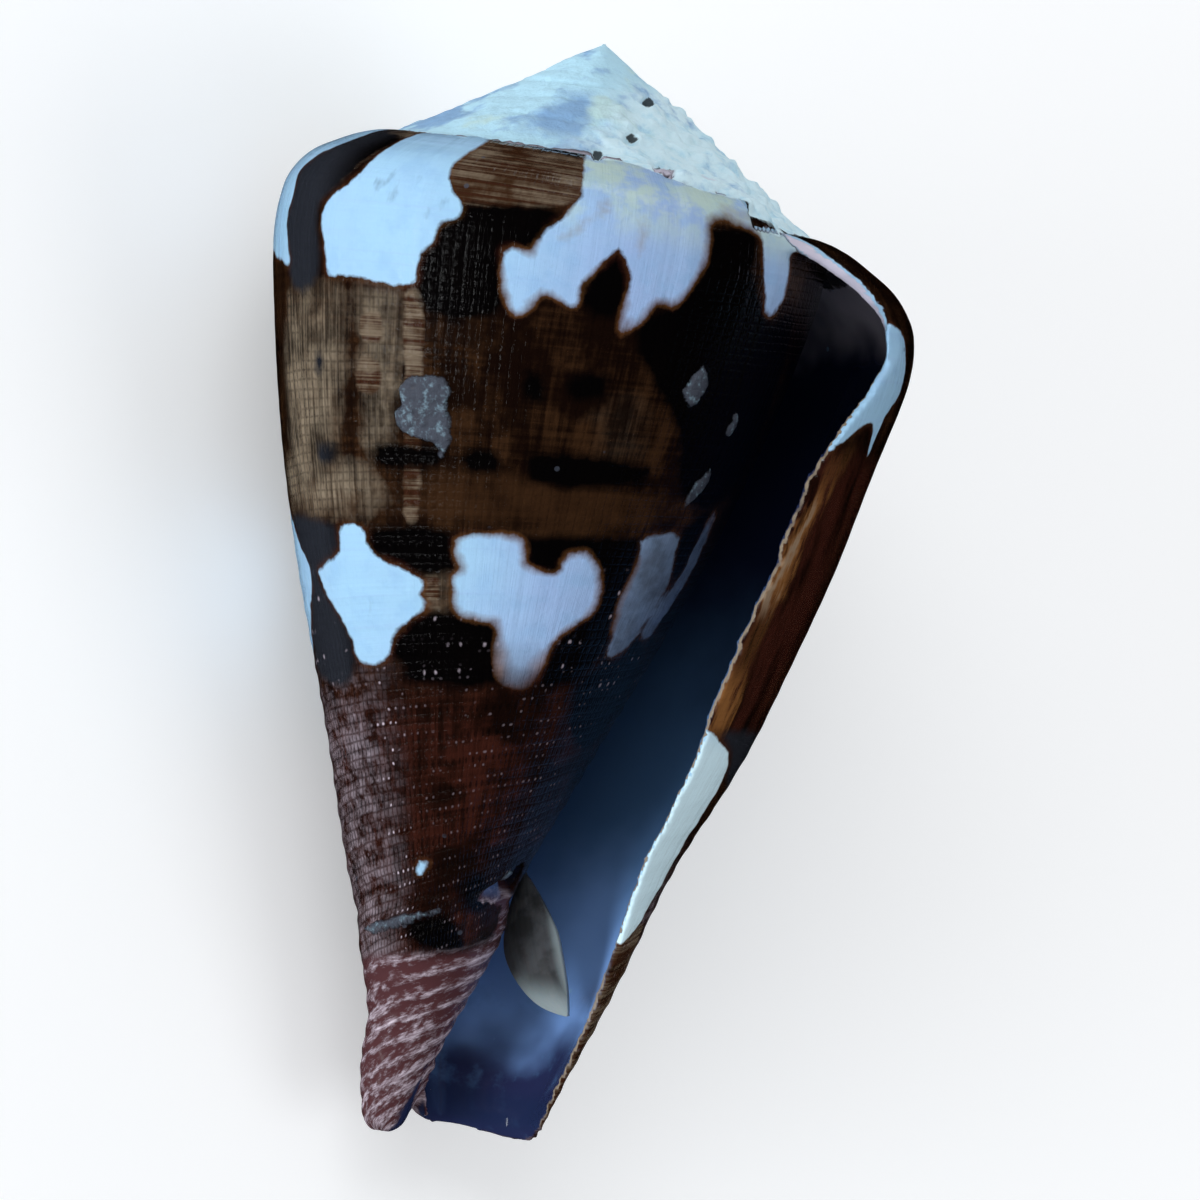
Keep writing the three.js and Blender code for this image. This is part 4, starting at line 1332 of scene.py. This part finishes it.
def shell_material():
    """Brown ground with black and white patches, a chalky spire, a blue mouth and a ridged foot."""
    material, surface = new_material("shell glaze")
    g = ShellPaint(material.node_tree)
    c = colours()
    paint_ground(g, c)
    paint_panels(g, c)
    paint_lip_strip(g, c)
    paint_blacks(g, c)
    white = paint_whites(g, c)
    crust = paint_crusts(g, c)
    chalk = paint_spire(g, c)
    crest = paint_foot(g, c)
    paint_mouth(g, c)
    g.put(surface["Base Color"], g.paint)
    dull = g.most(g.times(chalk, 0.55), g.times(crust, 0.4))
    gloss = g.add(0.06, dull, g.times(g.foot, 0.1), g.times(g.hair, 0.06))
    g.put(surface["Roughness"], g.math("ADD", gloss, 0, clamp=True))
    surface["Specular IOR Level"].default_value = 0.35
    bump = g.node("ShaderNodeBump")
    g.put(bump.inputs["Height"], shell_relief(g, white, crust, chalk, crest))
    bump.inputs["Distance"].default_value = MM
    g.put(surface["Normal"], bump.outputs["Normal"])
    return material


def operculum_material():
    """Grey-olive horn with growth lines along its length, paler at the tip and the free edge, and paler
    towards its top as painted light.
    """
    material, surface = new_material("horn")
    g = Graph(material.node_tree)
    c = colours()
    at = g.millimetres()
    along, across = g.attribute("along"), g.attribute("across")
    lines = g.group(
        growth_streaks, Behind=g.times(across, 60), Depth=g.times(along, 8), Degrees_wide=3.0, Length=5.0)
    # Painted light: the operculum's upper part gets a paler, lit copy of the horn colour.
    shade = g.mix(g.rise(along, 0.4, 0.9), c.horn, c.horn * 1.5)
    shade = g.mix(g.rise(lines, 0.45, 0.65, 0, 0.25), shade, c.horn * 0.6)
    shade = g.mix(g.rise(g.noise(at, 0.7, 4, 0.6), 0.42, 0.62, 0, 0.8), shade, c.horn * 0.4)
    pale = g.most(g.rise(along, 0.3, 0.0), g.times(g.rise(across, 0.84, 0.98), 0.6))
    shade = g.mix(g.times(pale, 0.85), shade, c.horn_pale)
    g.put(surface["Base Color"], shade)
    g.put(surface["Roughness"], g.rise(lines, 0.3, 0.7, 0.35, 0.5))
    surface["Subsurface Weight"].default_value = 0.15
    surface["Subsurface Scale"].default_value = 0.5 * MM
    return material


VIEW_LEAN = math.radians(9)
VIEW_CENTRE = (4.11, 0, 27.75)
VIEW_WIDTH = 59.7
CAMERA_DISTANCE = 0.4
SENSOR = 36
COOL = (0.95, 0.98, 1.0)
# Name, way as (right, up, towards the camera), distance and size in metres, watts, tint, and whether
# the glaze reflects it.
LIGHTS = (
    ("key", (-0.80, -0.12, 0.57), 0.75, (0.3, 0.42), 5.2, (0.88, 0.95, 1.0), False),
    ("fill", (0.0, 0.9, 0.9), 0.7, (0.5, 0.5), 1.6, COOL, False),
    ("side", (0.8, -0.25, 0.55), 0.75, (0.4, 0.4), 1.0, COOL, False),
    ("glint", (-0.85, -0.03, 0.53), 0.75, (0.03, 0.3), 0.3, COOL, True),
    ("far glint", (0.4, 0.9, 0.1), 0.75, (0.08, 0.4), 0.35, COOL, True),
)


def view_axes():
    """The picture's right, up and towards-camera directions over the lying shell."""
    c, s = math.cos(VIEW_LEAN), math.sin(VIEW_LEAN)
    turn = turned()
    return turn @ (c, 0, s), turn @ (-s, 0, c), turn @ (0, -1, 0)


def add_light(name, way, distance, size, watts, tint, reflected):
    """A soft light in the picture's directions, aimed at the shell's middle."""
    right, up, towards = way
    axes = view_axes()
    aim = to_ground([VIEW_CENTRE])[0]
    direction = Vector(right * axes[0] + up * axes[1] + towards * axes[2]).normalized()
    side = Vector(axes[1]).cross(direction).normalized()
    bpy.ops.object.light_add(type="AREA", location=Vector(aim) + direction * distance)
    light = bpy.context.active_object
    light.name = name
    light.rotation_euler = Matrix([side, direction.cross(side), direction]).transposed().to_euler()
    light.data.shape = "RECTANGLE"
    light.data.size, light.data.size_y = size
    light.data.energy = watts
    light.data.color = tint
    light.visible_glossy = reflected


class CONESHELL_OT_stage(bpy.types.Operator):
    """Lays a pale floor and sets soft lights and the camera above the shell"""

    bl_idname = "coneshell.stage"
    bl_label = "Stage"

    def execute(self, context):
        deselect_all()
        bpy.ops.mesh.primitive_plane_add(size=6, location=(0, 0, 0))
        floor = context.active_object
        floor.name = "floor"
        material, surface = new_material("floor")
        surface["Base Color"].default_value = (0.93, 0.93, 0.93, 1)
        surface["Roughness"].default_value = 0.9
        surface["Emission Color"].default_value = (1, 1, 1, 1)
        surface["Emission Strength"].default_value = 0.23
        floor.data.materials.append(material)
        floor.visible_glossy = False
        world = bpy.data.worlds.new("studio")
        world.use_nodes = True
        world.node_tree.nodes["Background"].inputs["Color"].default_value = (0.96, 0.97, 1.0, 1)
        world.node_tree.nodes["Background"].inputs["Strength"].default_value = 0.42
        world.cycles_visibility.glossy = False
        context.scene.world = world
        context.scene.view_settings.view_transform = "Standard"

        for light in LIGHTS:
            add_light(*light)

        right, up, towards = view_axes()
        aim = to_ground([VIEW_CENTRE])[0]
        bpy.ops.object.camera_add(location=aim + towards * CAMERA_DISTANCE)
        camera = context.active_object
        camera.name = "camera"
        camera.rotation_euler = Matrix([right, up, towards]).transposed().to_euler()
        camera.data.sensor_width = SENSOR
        camera.data.lens = SENSOR * CAMERA_DISTANCE / (VIEW_WIDTH * MM)
        camera.data.clip_start = 0.01
        context.scene.camera = camera
        return {"FINISHED"}


class CONESHELL_PT_panel(bpy.types.Panel):
    """Lists the sizes, the colours and the pieces in the order in which they are made"""

    bl_label = "Cone Shell"
    bl_idname = "CONESHELL_PT_panel"
    bl_space_type = "VIEW_3D"
    bl_region_type = "UI"
    bl_category = "Cone Shell"

    def draw(self, context):
        scene = context.scene
        for group in (scene.cone_shell_sizes, scene.cone_shell_colours):
            box = self.layout.box()
            for name in group.bl_rna.properties.keys():
                if name not in ("rna_type", "name"):
                    box.prop(group, name)
        for operator in (CONESHELL_OT_shell, CONESHELL_OT_operculum, CONESHELL_OT_stage):
            self.layout.operator(operator.bl_idname)


CLASSES = (
    ConeShellSizes, ConeShellColours, CONESHELL_OT_shell, CONESHELL_OT_operculum, CONESHELL_OT_stage,
    CONESHELL_PT_panel,
)


def register():
    for cls in CLASSES:
        bpy.utils.register_class(cls)
    bpy.types.Scene.cone_shell_sizes = bpy.props.PointerProperty(type=ConeShellSizes)
    bpy.types.Scene.cone_shell_colours = bpy.props.PointerProperty(type=ConeShellColours)


def unregister():
    del bpy.types.Scene.cone_shell_colours
    del bpy.types.Scene.cone_shell_sizes
    for cls in reversed(CLASSES):
        bpy.utils.unregister_class(cls)


def main():
    register()
    bpy.ops.coneshell.shell()
    bpy.ops.coneshell.operculum()
    bpy.ops.coneshell.stage()


if __name__ == "__main__":
    main()
